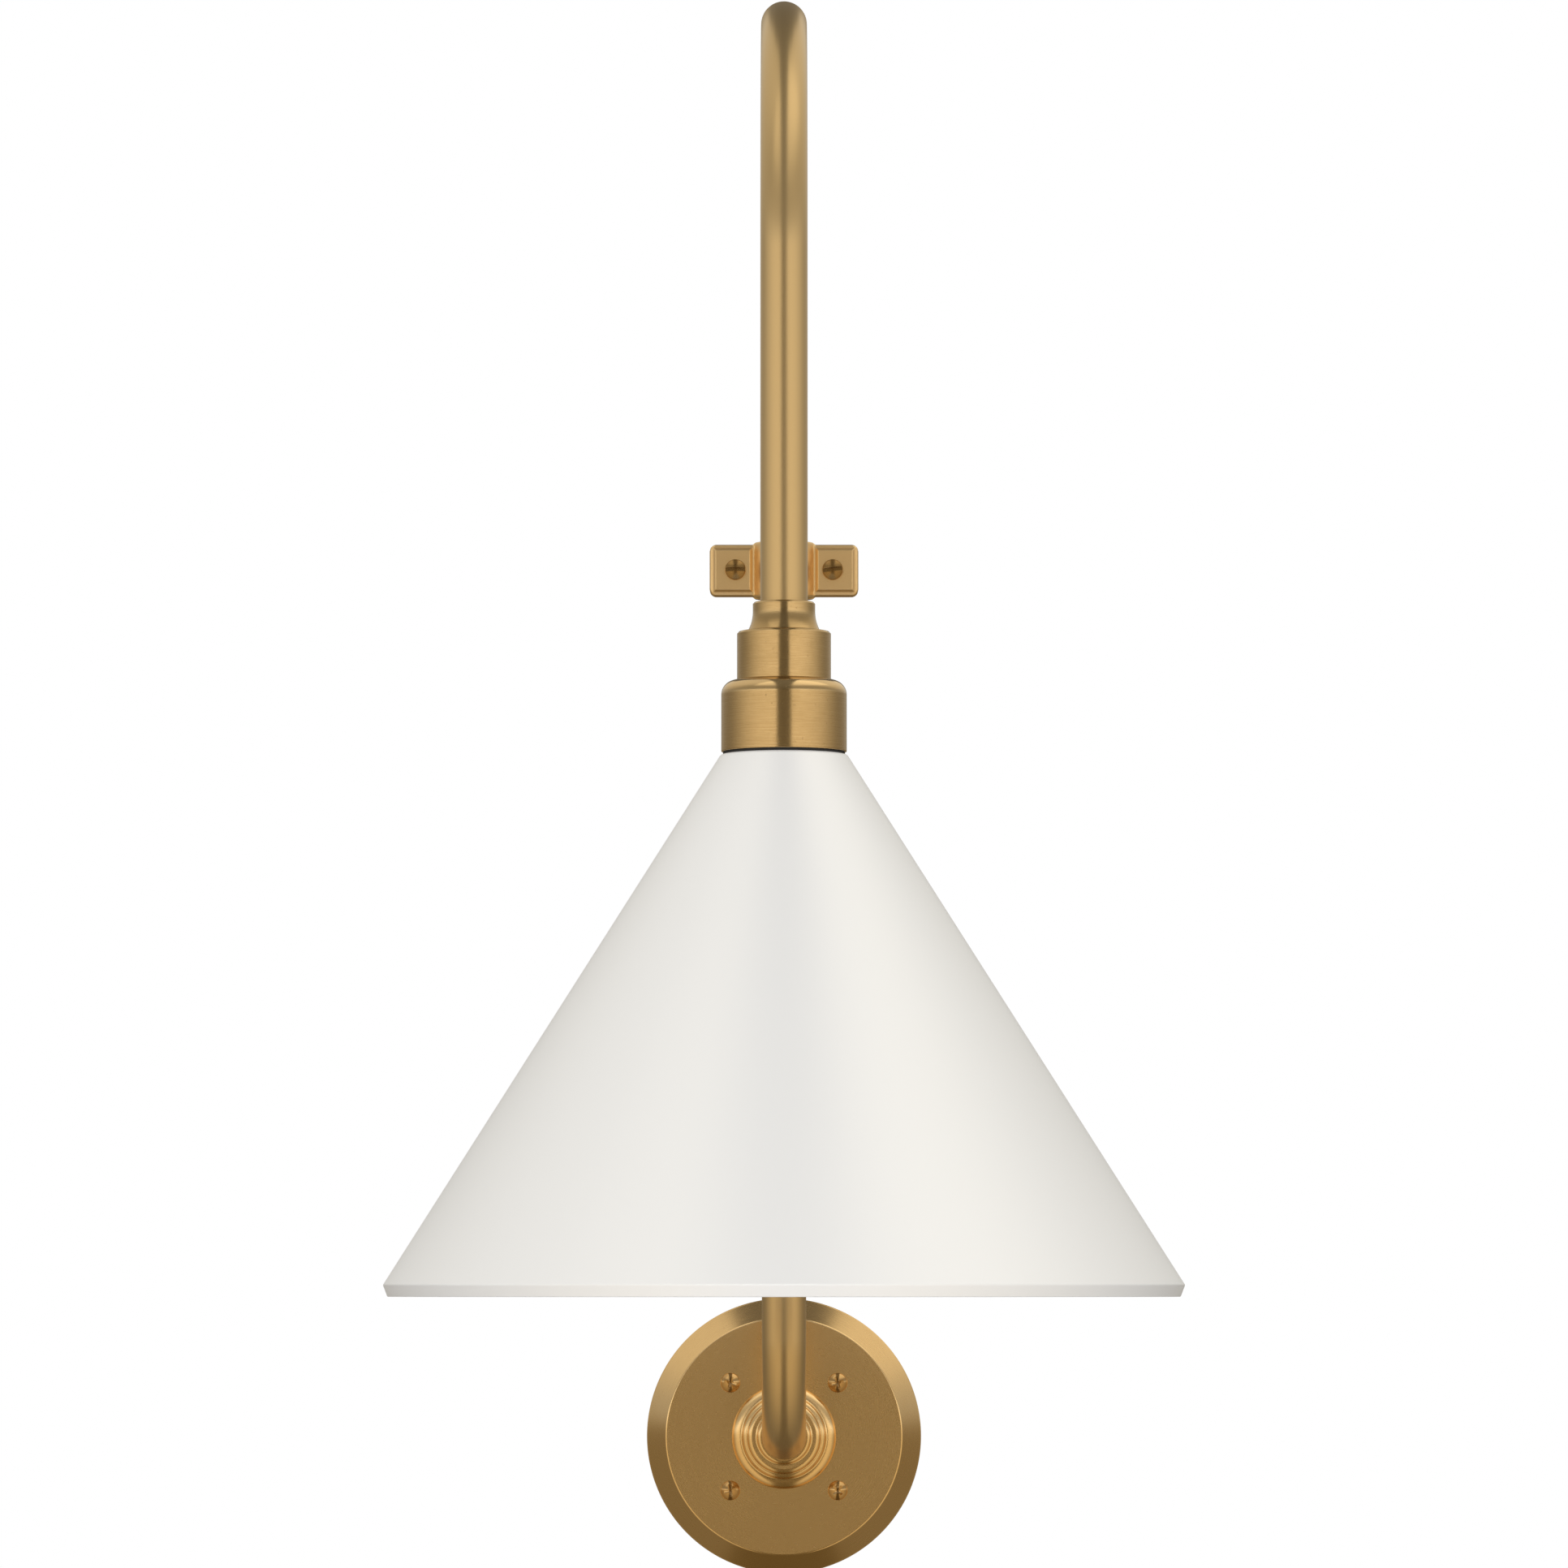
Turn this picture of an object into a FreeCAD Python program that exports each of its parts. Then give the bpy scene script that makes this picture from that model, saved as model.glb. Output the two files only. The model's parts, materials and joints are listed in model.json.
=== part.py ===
import FreeCAD, Part
import math
import os
import re

import Sketcher

# Swing arm wall sconce: a round backplate on the wall carries an elbow and a riser tube, a
# two-part clamp on the riser holds the swivel, and the gooseneck that turns in it carries a
# lampholder under stepped covers and a conical shade.
#
# Origin: centre of the backplate on the wall plane.  +Z is up, +X right, and the wall is the
# plane y = 0 with the sconce standing out along -Y.

doc = FreeCAD.newDocument("SwingArmSconce")

# ---------------------------------------------------------------------------- driving sizes

SIZES = {
    # tubes
    "tube_dia": 19.05, "tube_wall": 1.6, "riser_out": 80, "elbow_radius": 42,
    "reach": 220, "crook_height": 482.4, "crook_drop": 142.7, "lead_dia": 5.6,
    # backplate and what it is fixed to
    "plate_dia": 120.65, "plate_face_dia": 103.6, "plate_depth": 18, "plate_rim": 3,
    "plate_wall": 1.5, "plate_round": 0.8, "strap_dia": 106, "strap_thick": 2,
    "strap_wire_hole": 34, "box_screw_pitch": 88.9, "box_screw_hole": 4.6,
    "cover_screw_pitch": 47, "cover_screw_dia": 4, "cover_head_dia": 8.6,
    "cover_head_tall": 2.7, "collar_wall": 1.6, "collar_tall": 3,
    "ground_screw_up": 33, "block_wide": 30, "block_tall": 14, "block_deep": 10, "block_down": 29,
    "block_pitch": 9.375, "well_dia": 4, "well_deep": 3, "block_screw_dia": 3.8,
    "block_screw_tall": 2,
    # heads of all the domed screws; the reaches are multiples of the head's radius
    "head_edge": 0.35, "drive_wide": 1.1, "drive_share": 0.5, "slot_reach": 2.4,
    "cross_reach": 1.2,
    # stepped wall boss and its stud
    "boss_dia": 45.6, "boss_tall": 4.4, "boss_round": 3, "boss_two_dia": 36.4,
    "boss_two_tall": 3.4, "boss_three_dia": 31.9, "boss_three_tall": 2.6,
    "boss_neck_wall": 2.1, "boss_neck_tall": 3.6, "boss_web": 4, "stud_dia": 12, "stud_bore": 7.2,
    "boss_two_round": 1.2, "boss_three_round": 1, "boss_neck_round": 0.8,
    "washer_thick": 1, "washer_dia": 22, "stud_nut_tall": 3.5, "stud_nut_flats": 19,
    "liner_flange": 0.8, "liner_inset": 0.4, "liner_long": 5,
    # swivel
    "joint_height": 374.6, "clamp_tall": 24.1, "clamp_wall": 1.55, "clamp_grip": 6,
    "clamp_split": 0.8, "ear_long": 19.1, "ear_tall": 22.3, "ear_thick": 3.6,
    "ear_round": 2.4, "ear_blend": 3, "pad_rise": 1.8, "pad_slope": 2, "pad_border": 0.6,
    "pad_start": 1.6, "pad_sunk": 0.5, "clamp_screw_proud": 0.4,
    "clamp_screw_out": 7.9, "clamp_screw_dia": 4, "clamp_head_dia": 9.1, "clamp_head_tall": 3,
    "spigot_down": 20, "spigot_up": 24, "spigot_flange": 1.5, "spigot_dia": 12.7,
    "spigot_bore": 8, "thrust_thick": 1, "bush_long": 22, "ferrule_wall": 1.7, "ferrule_tall": 6,
    "stop_pin_dia": 2, "stop_pin_sunk": 0.3, "stop_slot_deep": 1.3, "swing_limit": 65,
    "stop_play": 0.7, "ferrule_play": 0.1,
    # holder stack under the gooseneck
    "neck_wall": 3, "neck_tall": 11.9, "neck_web": 2.5, "neck_chamfer": 0.7, "flare_out": 2.2,
    "flare_drop": 8.2,
    "nipple_dia": 10, "nipple_bore": 7, "nipple_up": 5.5, "nipple_down": 11,
    "cover_dia": 37.7, "cover_tall": 19.6, "cover_wall": 1.5, "cover_top": 2, "cover_chamfer": 0.8,
    "gallery_dia": 50.4, "gallery_tall": 28.8, "gallery_wall": 1.5, "gallery_round": 5.8,
    "gasket_thick": 1, "gasket_inset": 0.7, "gasket_wide": 2.2,
    "holder_wall": 2.8, "holder_long": 63.8, "holder_top": 4, "holder_chamber": 21.8,
    "holder_web": 5, "holder_round": 0.8, "nipple_nut_tall": 4, "nipple_nut_flats": 14,
    "grip_tall": 5, "grip_dia": 12, "lead_above_web": 4,
    "shell_bore": 26.4, "shell_skin": 0.5, "shell_long": 28, "shell_lip": 5, "shell_drop": 2.2,
    "contact_dia": 8, "contact_tip_dia": 5.2, "contact_deep": 2.4, "contact_edge": 1.2,
    "rivet_dia": 3, "rivet_hole_dia": 3.2, "rivet_head_dia": 5.2, "rivet_head_tall": 1,
    "post_wide": 4.5, "post_deep": 7, "post_tall": 7, "post_inset": 5, "post_screw_dia": 3.6,
    "post_screw_tall": 1.5, "chamber_inset": 0.2,
    "shade_top_dia": 50.6, "shade_dia": 320, "shade_tall": 217.1, "shade_lip": 4.7,
    "shade_lip_in": 1.8, "shade_wall": 1.2, "shade_round": 2.2, "rim_round": 0.8,
    "shade_hole_dia": 36, "ring_dia": 45, "ring_tall": 4, "notch_dia": 3, "notch_out": 0.4,
    # clearances, and how far a tool reaches past what it cuts
    "seat_gap": 0.02, "running_gap": 0.08, "pivot_gap": 0.05, "loose_gap": 0.3,
    "end_float": 0.05, "screw_play": 0.2, "overrun": 1,
}

# Places and sizes worked out from the driving sizes.
PLACES = {
    "tube_radius": "tube_dia / 2",
    "tube_bore_radius": "tube_dia / 2 - tube_wall",
    "lead_radius": "lead_dia / 2",
    "holder_out": "riser_out + reach",
    "crook_radius": "reach / 2",
    # measured from the wall along the wall axis
    "plate_inside": "plate_depth - plate_wall",
    "stud_nut_front": "plate_inside - washer_thick",
    "stud_nut_back": "stud_nut_front - stud_nut_tall",
    "stud_end": "stud_nut_back - screw_play",
    "liner_end": "stud_end - liner_flange",
    "boss_two_top": "plate_depth + boss_tall + boss_two_tall",
    "boss_three_top": "boss_two_top + boss_three_tall",
    "boss_top": "boss_three_top + boss_neck_tall",
    "boss_floor": "plate_depth + boss_web",
    "lead_wall_gap": "strap_thick + screw_play + lead_radius",
    "lead_turn": "liner_end - lead_wall_gap",
    # heights of the swivel
    "clamp_bottom": "joint_height - clamp_tall / 2",
    "clamp_top": "joint_height + clamp_tall / 2",
    "lower_top": "clamp_bottom + clamp_grip",
    "thrust_bottom": "lower_top + spigot_flange",
    "thrust_top": "thrust_bottom + thrust_thick",
    "upper_start": "thrust_top + end_float",
    "ferrule_top": "upper_start + ferrule_tall",
    "recess_top": "ferrule_top + ferrule_play",
    "ferrule_radius": "tube_radius + ferrule_wall",
    "recess_radius": "ferrule_radius + loose_gap",
    "barrel_radius": "recess_radius + clamp_wall",
    "ear_half": "barrel_radius + ear_long",
    "ear_face": "clamp_split / 2 + ear_thick",
    "pad_face": "ear_face + pad_rise",
    "pad_inner": "barrel_radius + pad_start",
    "clamp_screw_x": "barrel_radius + clamp_screw_out",
    "stop_height": "upper_start + ferrule_tall / 2",
    "stop_pin_angle": "stop_pin_dia / 2 / (ferrule_radius - stop_slot_deep) * 180 / pi",
    "stop_half_angle": "swing_limit + stop_pin_angle + stop_play",
    "stop_tip": "ferrule_radius - stop_slot_deep + loose_gap",
    "stop_head": "barrel_radius - stop_pin_sunk",
    # heights of the holder stack
    "neck_top": "crook_height - crook_drop",
    "neck_bottom": "neck_top - neck_tall",
    "neck_floor": "neck_bottom + neck_web",
    "neck_radius": "tube_radius + neck_wall",
    "flare_radius": "(flare_out ^ 2 + flare_drop ^ 2) / (2 * flare_out)",
    "cover_bottom": "neck_bottom - cover_tall",
    "gallery_bottom": "cover_bottom - gallery_tall",
    "shade_top": "gallery_bottom - gasket_thick",
    "shade_bottom": "shade_top - shade_tall",
    "shade_rim": "shade_bottom + shade_lip",
    "shade_slope": "(shade_dia - shade_top_dia) / 2 / (shade_tall - shade_lip)",
    "shade_skin": "shade_wall * sqrt(1 + shade_slope ^ 2)",
    "holder_radius": "shell_radius + holder_wall",
    "holder_head": "neck_bottom - cover_top",
    "holder_ceiling": "holder_head - holder_top",
    "web_top": "holder_ceiling - holder_chamber",
    "web_bottom": "web_top - holder_web",
    "holder_bottom": "holder_head - holder_long",
    "shell_radius": "shell_bore / 2 + shell_skin",
    "shell_top": "web_bottom - shell_drop",
    "nipple_top": "neck_bottom + nipple_up",
    "nipple_bottom": "neck_bottom - nipple_down",
    "chamber_radius": "shell_radius - chamber_inset",
}


def make_sheet(name, cells, as_text):
    """Fill a spreadsheet with one named cell per entry."""
    sheet = doc.addObject("Spreadsheet::Sheet", name)
    for row, (alias, content) in enumerate(cells.items(), start=1):
        sheet.set(f"A{row}", alias)
        sheet.set(f"B{row}", as_text(content))
        sheet.setAlias(f"B{row}", alias)
    return sheet


HOME = {alias: "Sizes" for alias in SIZES}
HOME.update({alias: "Places" for alias in PLACES})


def linked(expression):
    """Point each word of an expression at the sheet that holds it."""
    return re.sub(r"[a-z][a-z_]+", lambda word: qualified(word.group()), str(expression))


def qualified(word):
    """Put a sheet's name before one of its own words and leave function names alone."""
    return f"{HOME[word]}.{word}" if word in HOME else word


sizes_sheet = make_sheet("Sizes", SIZES, str)
places_sheet = make_sheet("Places", PLACES, lambda formula: "=" + linked(formula))
doc.recompute()


def value(expression):
    """Return the number that an expression on the sheets' words has now."""
    number = sizes_sheet.evalExpression(linked(expression))
    return number.Value if hasattr(number, "Value") else float(number)


# ---------------------------------------------------------------------------- where pieces stand

# Local Z of a piece on the wall axis points out of the wall, and local Y points up.
WALL = "placement(vector(0; 0; 0); rotation(vector(1; 0; 0); 90))"
RISER = "placement(vector(0; -riser_out; 0); rotation(vector(0; 0; 1); 0))"
HOLDER = "placement(vector(0; -holder_out; 0); rotation(vector(0; 0; 1); 0))"


def stand(piece, frame):
    """Bind a piece's placement to one of the three axes above."""
    piece.setExpression("Placement", linked(frame))
    return piece


def at(x, y, z, axis="0; 0; 1", angle="0"):
    """Return a placement expression from a point and a turn."""
    return f"placement(vector({x}; {y}; {z}); rotation(vector({axis}); {angle}))"


# ---------------------------------------------------------------------------- sketches and bodies


def plane_of(body, role):
    """Return one of a body's own origin planes."""
    return next(item for item in body.Origin.OriginFeatures if item.Role == role)


def pin_point(sketch, geometry, end, x, y):
    """Tie a point of a sketch to two expressions."""
    for kind, expression in (("DistanceX", x), ("DistanceY", y)):
        index = sketch.addConstraint(
            Sketcher.Constraint(kind, -1, 1, geometry, end, value(expression)))
        sketch.setExpression(f"Constraints[{index}]", linked(expression))


def draw(body, name, role, path, closed=True):
    """Draw a path of lines and arcs on a body's plane.

    Each entry is (x, y), reached by a line, or (x, y, centre_x, centre_y, "left" or "right"),
    reached by an arc that turns that way.
    """
    sketch = body.newObject("Sketcher::SketchObject", name)
    sketch.AttachmentSupport = (plane_of(body, role), [""])
    sketch.MapMode = "FlatFace"
    corners = path + [path[0][:2]] if closed else path
    previous = None
    first = None
    for start, finish in zip(corners, corners[1:]):
        a = FreeCAD.Vector(value(start[0]), value(start[1]), 0)
        b = FreeCAD.Vector(value(finish[0]), value(finish[1]), 0)
        ends = (1, 2)
        if len(finish) == 2:
            geometry = sketch.addGeometry(Part.LineSegment(a, b), False)
        else:
            centre = FreeCAD.Vector(value(finish[2]), value(finish[3]), 0)
            if finish[4] == "right":
                a, b = b, a
                ends = (2, 1)
            circle = Part.Circle(centre, FreeCAD.Vector(0, 0, 1), (a - centre).Length)
            span = [math.atan2(p.y - centre.y, p.x - centre.x) for p in (a, b)]
            geometry = sketch.addGeometry(Part.ArcOfCircle(circle, *span), False)
            index = sketch.addConstraint(
                Sketcher.Constraint("DistanceY", -1, 1, geometry, 3, centre.y))
            sketch.setExpression(f"Constraints[{index}]", linked(finish[3]))
        pin_point(sketch, geometry, ends[0], *start[:2])
        if previous is not None:
            sketch.addConstraint(Sketcher.Constraint("Coincident", *previous, geometry, ends[0]))
        first = first if first is not None else (geometry, ends[0])
        previous = (geometry, ends[1])
    if closed:
        sketch.addConstraint(Sketcher.Constraint("Coincident", *previous, *first))
    else:
        pin_point(sketch, *previous, *corners[-1][:2])
    return sketch


def circle_sketch(body, name, role, height, radii, centre=("0", "0")):
    """Draw concentric circles on a plane that is moved along its normal by a height."""
    sketch = body.newObject("Sketcher::SketchObject", name)
    sketch.AttachmentSupport = (plane_of(body, role), [""])
    sketch.MapMode = "FlatFace"
    sketch.setExpression("AttachmentOffset.Base.z", linked(height))
    middle = FreeCAD.Vector(value(centre[0]), value(centre[1]), 0)
    for radius in radii:
        circle = Part.Circle(middle, FreeCAD.Vector(0, 0, 1), value(radius))
        geometry = sketch.addGeometry(circle, False)
        pin_point(sketch, geometry, 3, *centre)
        index = sketch.addConstraint(Sketcher.Constraint("Radius", geometry, value(radius)))
        sketch.setExpression(f"Constraints[{index}]", linked(radius))
    return sketch


def turned(label, frame, profile, rounds=()):
    """Make a body of revolution from a profile of (radius, height) corners.

    Each round is (radius, height, fillet radius) of a circular edge.
    """
    body = doc.addObject("PartDesign::Body", label)
    sketch = draw(body, label + "_profile", "XZ_Plane", profile)
    turn = body.newObject("PartDesign::Revolution", label + "_turn")
    turn.Profile = sketch
    turn.ReferenceAxis = (sketch, ["V_Axis"])
    turn.Angle = 360
    doc.recompute()
    last = turn
    for count, (radius, height, size) in enumerate(rounds):
        edge = circular_edge(last.Shape, value(radius), value(height))
        fillet = body.newObject("PartDesign::Fillet", f"{label}_round_{count}")
        fillet.Base = (last, [edge])
        fillet.setExpression("Radius", linked(size))
        body.Tip = fillet
        doc.recompute()
        last = fillet
    return stand(body, frame)


def circular_edge(shape, radius, height):
    """Name the circular edge of a shape that has a radius about local Z and a height."""
    for index, edge in enumerate(shape.Edges, start=1):
        if not isinstance(edge.Curve, Part.Circle):
            continue
        centre = edge.Curve.Center
        if abs(edge.Curve.Radius - radius) < 1e-4 and abs(centre.z - height) < 1e-4:
            return f"Edge{index}"
    raise ValueError(f"no circular edge of radius {radius} at height {height}")


def tube_along(label, route, start_plane, start, radii):
    """Carry concentric circles along a route drawn in the YZ plane."""
    body = doc.addObject("PartDesign::Body", label)
    spine = draw(body, label + "_route", "YZ_Plane", route, closed=False)
    section = circle_sketch(body, label + "_section", start_plane, start[0], radii, start[1])
    pipe = body.newObject("PartDesign::AdditivePipe", label + "_pipe")
    pipe.Profile = section
    pipe.Spine = (spine, [f"Edge{index + 1}" for index in range(len(route) - 1)])
    doc.recompute()
    return body


# ---------------------------------------------------------------------------- primitives and booleans


def cylinder(label, radius, height, frame):
    """Make a bound cylinder whose axis is local Z."""
    piece = doc.addObject("Part::Cylinder", label)
    piece.setExpression("Radius", linked(radius))
    piece.setExpression("Height", linked(height))
    return stand(piece, frame)


def box(label, length, width, height, frame):
    """Make a bound box from its low corner."""
    piece = doc.addObject("Part::Box", label)
    piece.setExpression("Length", linked(length))
    piece.setExpression("Width", linked(width))
    piece.setExpression("Height", linked(height))
    return stand(piece, frame)


def fused(label, pieces):
    """Join pieces into one."""
    joined = doc.addObject("Part::MultiFuse", label)
    joined.Shapes = pieces
    joined.Refine = True
    return joined


def cut(label, base, tools):
    """Take tools away from a piece."""
    tool = tools[0] if len(tools) == 1 else fused(label + "_tools", tools)
    result = doc.addObject("Part::Cut", label)
    result.Base = base
    result.Tool = tool
    return result


def group(label, pieces):
    """Keep separate solids of one kind together under one name."""
    together = doc.addObject("Part::Compound", label)
    together.Links = pieces
    return together


def hexagon(label, flats, bore, height, frame):
    """Make a hexagon nut from its width across flats, with a plain bore."""
    prism = doc.addObject("Part::Prism", label + "_prism")
    prism.Polygon = 6
    prism.setExpression("Circumradius", linked(f"({flats}) / sqrt(3)"))
    prism.setExpression("Height", linked(height))
    stand(prism, frame)
    hole = cylinder(label + "_bore", bore, height, frame)
    return cut(label, prism, [hole])


def domed_head(label, radius, tall):
    """Make a button head on local Z = 0: a low cylindrical edge under a spherical cap."""
    rise = f"({tall} - head_edge)"
    cap = f"(({radius}) ^ 2 + {rise} ^ 2) / (2 * {rise})"
    profile = [("0", "0"), (radius, "0"), (radius, "head_edge"),
               ("0", tall, "0", f"{tall} - ({cap})", "left")]
    return turned(label, at(0, 0, 0), profile)


def screw(label, head_radius, head_tall, shank_radius, shank_long, drive, frame):
    """Make a domed screw, head on local Z = 0, shank below it, with a slot or a cross."""
    head = domed_head(label + "_head", head_radius, head_tall)
    shank = cylinder(label + "_shank", shank_radius, shank_long, at(0, 0, f"-({shank_long})"))
    whole = fused(label + "_blank", [head, shank])
    reach_out = f"{drive}_reach * ({head_radius})"
    floor = f"{head_tall} * (1 - drive_share)"
    tools = []
    for count in range(1 if drive == "slot" else 2):
        long_way = (reach_out, "drive_wide") if count == 0 else ("drive_wide", reach_out)
        corner = at(f"-({long_way[0]}) / 2", f"-({long_way[1]}) / 2", floor)
        tools.append(box(f"{label}_drive_{count}", *long_way, head_tall, corner))
    return stand(cut(label, whole, tools), frame)


def corners_of(pitch):
    """Return the four corners of a square pattern as expressions."""
    half = f"{pitch} / 2"
    return [(f"{sx}{half}", f"{sz}{half}") for sx in ("", "-") for sz in ("", "-")]


# ---------------------------------------------------------------------------- wall pieces


def mounting_plate():
    """Steel disc on the wall box: wire hole, box screw holes, tapped collars, tapped earth hole."""
    disc = cylinder("mounting_plate_disc", "strap_dia / 2", "strap_thick", at(0, 0, 0))
    collars = [
        cylinder(f"mounting_plate_collar_{count}", "cover_screw_dia / 2 + collar_wall",
                 "strap_thick + collar_tall", at(x, y, 0))
        for count, (x, y) in enumerate(corners_of("cover_screw_pitch"))]
    holes = [("0", "0", "strap_wire_hole / 2"),
             ("box_screw_pitch / 2", "0", "box_screw_hole / 2"),
             ("-box_screw_pitch / 2", "0", "box_screw_hole / 2"),
             ("0", "ground_screw_up", "cover_screw_dia / 2 + seat_gap")]
    holes += [(x, y, "cover_screw_dia / 2 + seat_gap") for x, y in corners_of("cover_screw_pitch")]
    tools = [
        cylinder(f"mounting_plate_hole_{count}", radius, "strap_thick + collar_tall + 2 * overrun",
                 at(x, y, "-overrun"))
        for count, (x, y, radius) in enumerate(holes)]
    blank = fused("mounting_plate_blank", [disc] + collars)
    return stand(cut("mounting_plate", blank, tools), WALL)


def ground_screw():
    """Earth screw in the mounting plate."""
    seat = f"{WALL} * {at(0, 'ground_screw_up', 'strap_thick')}"
    return screw("ground_screw", "cover_head_dia / 2", "cover_head_tall",
                 "cover_screw_dia / 2", "strap_thick", "slot", seat)


def terminal_block():
    """Moulded block on the mounting plate with three clamping screws in its face."""
    block = box("terminal_block_body", "block_wide", "block_tall", "block_deep",
                at("-block_wide / 2", "-block_down - block_tall", "strap_thick"))
    seats = [
        at(f"{side} * block_pitch", "-block_down - block_tall / 2",
           "strap_thick + block_deep - well_deep")
        for side in (-1, 0, 1)]
    wells = [
        cylinder(f"terminal_block_well_{count}", "well_dia / 2", "well_deep + overrun", seat)
        for count, seat in enumerate(seats)]
    screws = [
        cylinder(f"terminal_screw_{count}", "block_screw_dia / 2", "block_screw_tall",
                 f"{WALL} * {seat}")
        for count, seat in enumerate(seats)]
    return [stand(cut("terminal_block", block, wells), WALL), group("terminal_screws", screws)]


def backplate():
    """Spun brass cover: rim against the wall, bevel, flat face, stud hole and four screw holes."""
    blank = turned(
        "backplate_blank", at(0, 0, 0),
        [("plate_dia / 2", "0"), ("plate_dia / 2", "plate_rim"),
         ("plate_face_dia / 2", "plate_depth"), ("stud_dia / 2 + screw_play", "plate_depth"),
         ("stud_dia / 2 + screw_play", "plate_inside"),
         ("plate_face_dia / 2 - plate_wall / 2", "plate_inside"),
         ("plate_dia / 2 - plate_wall", "plate_rim"), ("plate_dia / 2 - plate_wall", "0")],
        rounds=[("plate_face_dia / 2", "plate_depth", "plate_round"),
                ("plate_dia / 2", "plate_rim", "plate_round")])
    holes = [
        cylinder(f"backplate_hole_{count}", "cover_screw_dia / 2 + screw_play",
                 "plate_wall + 2 * overrun", at(x, y, "plate_inside - overrun"))
        for count, (x, y) in enumerate(corners_of("cover_screw_pitch"))]
    return stand(cut("backplate", blank, holes), WALL)


def backplate_screws():
    """Four domed cross-head screws from the backplate's face into the mounting plate."""
    screws = [
        screw(f"backplate_screw_{count}", "cover_head_dia / 2", "cover_head_tall",
              "cover_screw_dia / 2", "plate_depth - screw_play", "cross",
              f"{WALL} * " + at(x, y, "plate_depth", angle=15 + 25 * count))
        for count, (x, y) in enumerate(corners_of("cover_screw_pitch"))]
    return group("backplate_screws", screws)


def arm_flange():
    """Stepped brass boss with a socket for the tube and a hollow stud behind."""
    neck = "tube_radius + boss_neck_wall"
    return turned(
        "arm_flange", WALL,
        [("stud_bore / 2", "stud_end"), ("stud_dia / 2", "stud_end"),
         ("stud_dia / 2", "plate_depth"), ("boss_dia / 2", "plate_depth"),
         ("boss_dia / 2", "plate_depth + boss_tall"),
         ("boss_two_dia / 2", "plate_depth + boss_tall"), ("boss_two_dia / 2", "boss_two_top"),
         ("boss_three_dia / 2", "boss_two_top"), ("boss_three_dia / 2", "boss_three_top"),
         (neck, "boss_three_top"), (neck, "boss_top"), ("tube_radius + seat_gap", "boss_top"),
         ("tube_radius + seat_gap", "boss_floor"), ("stud_bore / 2", "boss_floor")],
        rounds=[("boss_dia / 2", "plate_depth + boss_tall", "boss_round"),
                ("boss_two_dia / 2", "boss_two_top", "boss_two_round"),
                ("boss_three_dia / 2", "boss_three_top", "boss_three_round"),
                (neck, "boss_top", "boss_neck_round")])


def arm_lock_washer():
    """Flat washer between the backplate and the lock nut."""
    return turned(
        "arm_lock_washer", WALL,
        [("stud_dia / 2 + screw_play", "stud_nut_front"), ("washer_dia / 2", "stud_nut_front"),
         ("washer_dia / 2", "plate_inside"), ("stud_dia / 2 + screw_play", "plate_inside")])


def arm_lock_nut():
    """Hexagon nut on the boss's stud inside the backplate."""
    return hexagon("arm_lock_nut", "stud_nut_flats", "stud_dia / 2 + seat_gap", "stud_nut_tall",
                   f"{WALL} * {at(0, 0, 'stud_nut_back')}")


def wire_bushing():
    """Plastic liner in the stud's rear mouth, so that the lead doesn't chafe."""
    return turned(
        "wire_bushing", WALL,
        [("lead_radius + pivot_gap", "liner_end"), ("stud_dia / 2 - liner_inset", "liner_end"),
         ("stud_dia / 2 - liner_inset", "stud_end"), ("stud_bore / 2 - seat_gap", "stud_end"),
         ("stud_bore / 2 - seat_gap", "stud_end + liner_long"),
         ("lead_radius + pivot_gap", "stud_end + liner_long")])


# ---------------------------------------------------------------------------- tubes and lead


def lower_tube():
    """Elbow and riser: out of the boss, up to the clamp."""
    route = [("-boss_floor", "0"), ("elbow_radius - riser_out", "0"),
             ("-riser_out", "elbow_radius", "elbow_radius - riser_out", "elbow_radius", "right"),
             ("-riser_out", "lower_top")]
    return tube_along("lower_tube", route, "XZ_Plane", ("boss_floor", ("0", "0")),
                      ["tube_radius", "tube_bore_radius"])


def gooseneck_tube():
    """Straight leg up, half circle over, straight leg down."""
    route = [("-riser_out", "upper_start"), ("-riser_out", "crook_height"),
             ("-holder_out", "crook_height", "-riser_out - crook_radius", "crook_height", "left"),
             ("-holder_out", "neck_floor")]
    return tube_along("gooseneck_tube", route, "XY_Plane",
                      ("upper_start", ("0", "-riser_out")), ["tube_radius", "tube_bore_radius"])


def lower_lead():
    """Flexible lead from the terminal block through the boss and the riser to the swivel."""
    route = [("-lead_wall_gap", "-block_down"), ("-lead_wall_gap", "-lead_turn"),
             ("-liner_end", "0", "-liner_end", "-lead_turn", "left"),
             ("elbow_radius - riser_out", "0"),
             ("-riser_out", "elbow_radius", "elbow_radius - riser_out", "elbow_radius", "right"),
             ("-riser_out", "thrust_bottom")]
    return tube_along("lower_lead", route, "XY_Plane",
                      ("-block_down", ("0", "-lead_wall_gap")), ["lead_radius"])


def upper_lead():
    """The same lead above the swivel, over the crook and down to the lampholder."""
    route = [("-riser_out", "thrust_bottom + loose_gap"), ("-riser_out", "crook_height"),
             ("-holder_out", "crook_height", "-riser_out - crook_radius", "crook_height", "left"),
             ("-holder_out", "web_top + lead_above_web")]
    return tube_along("upper_lead", route, "XY_Plane",
                      ("thrust_bottom + loose_gap", ("0", "-riser_out")), ["lead_radius"])


# ---------------------------------------------------------------------------- swivel


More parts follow.
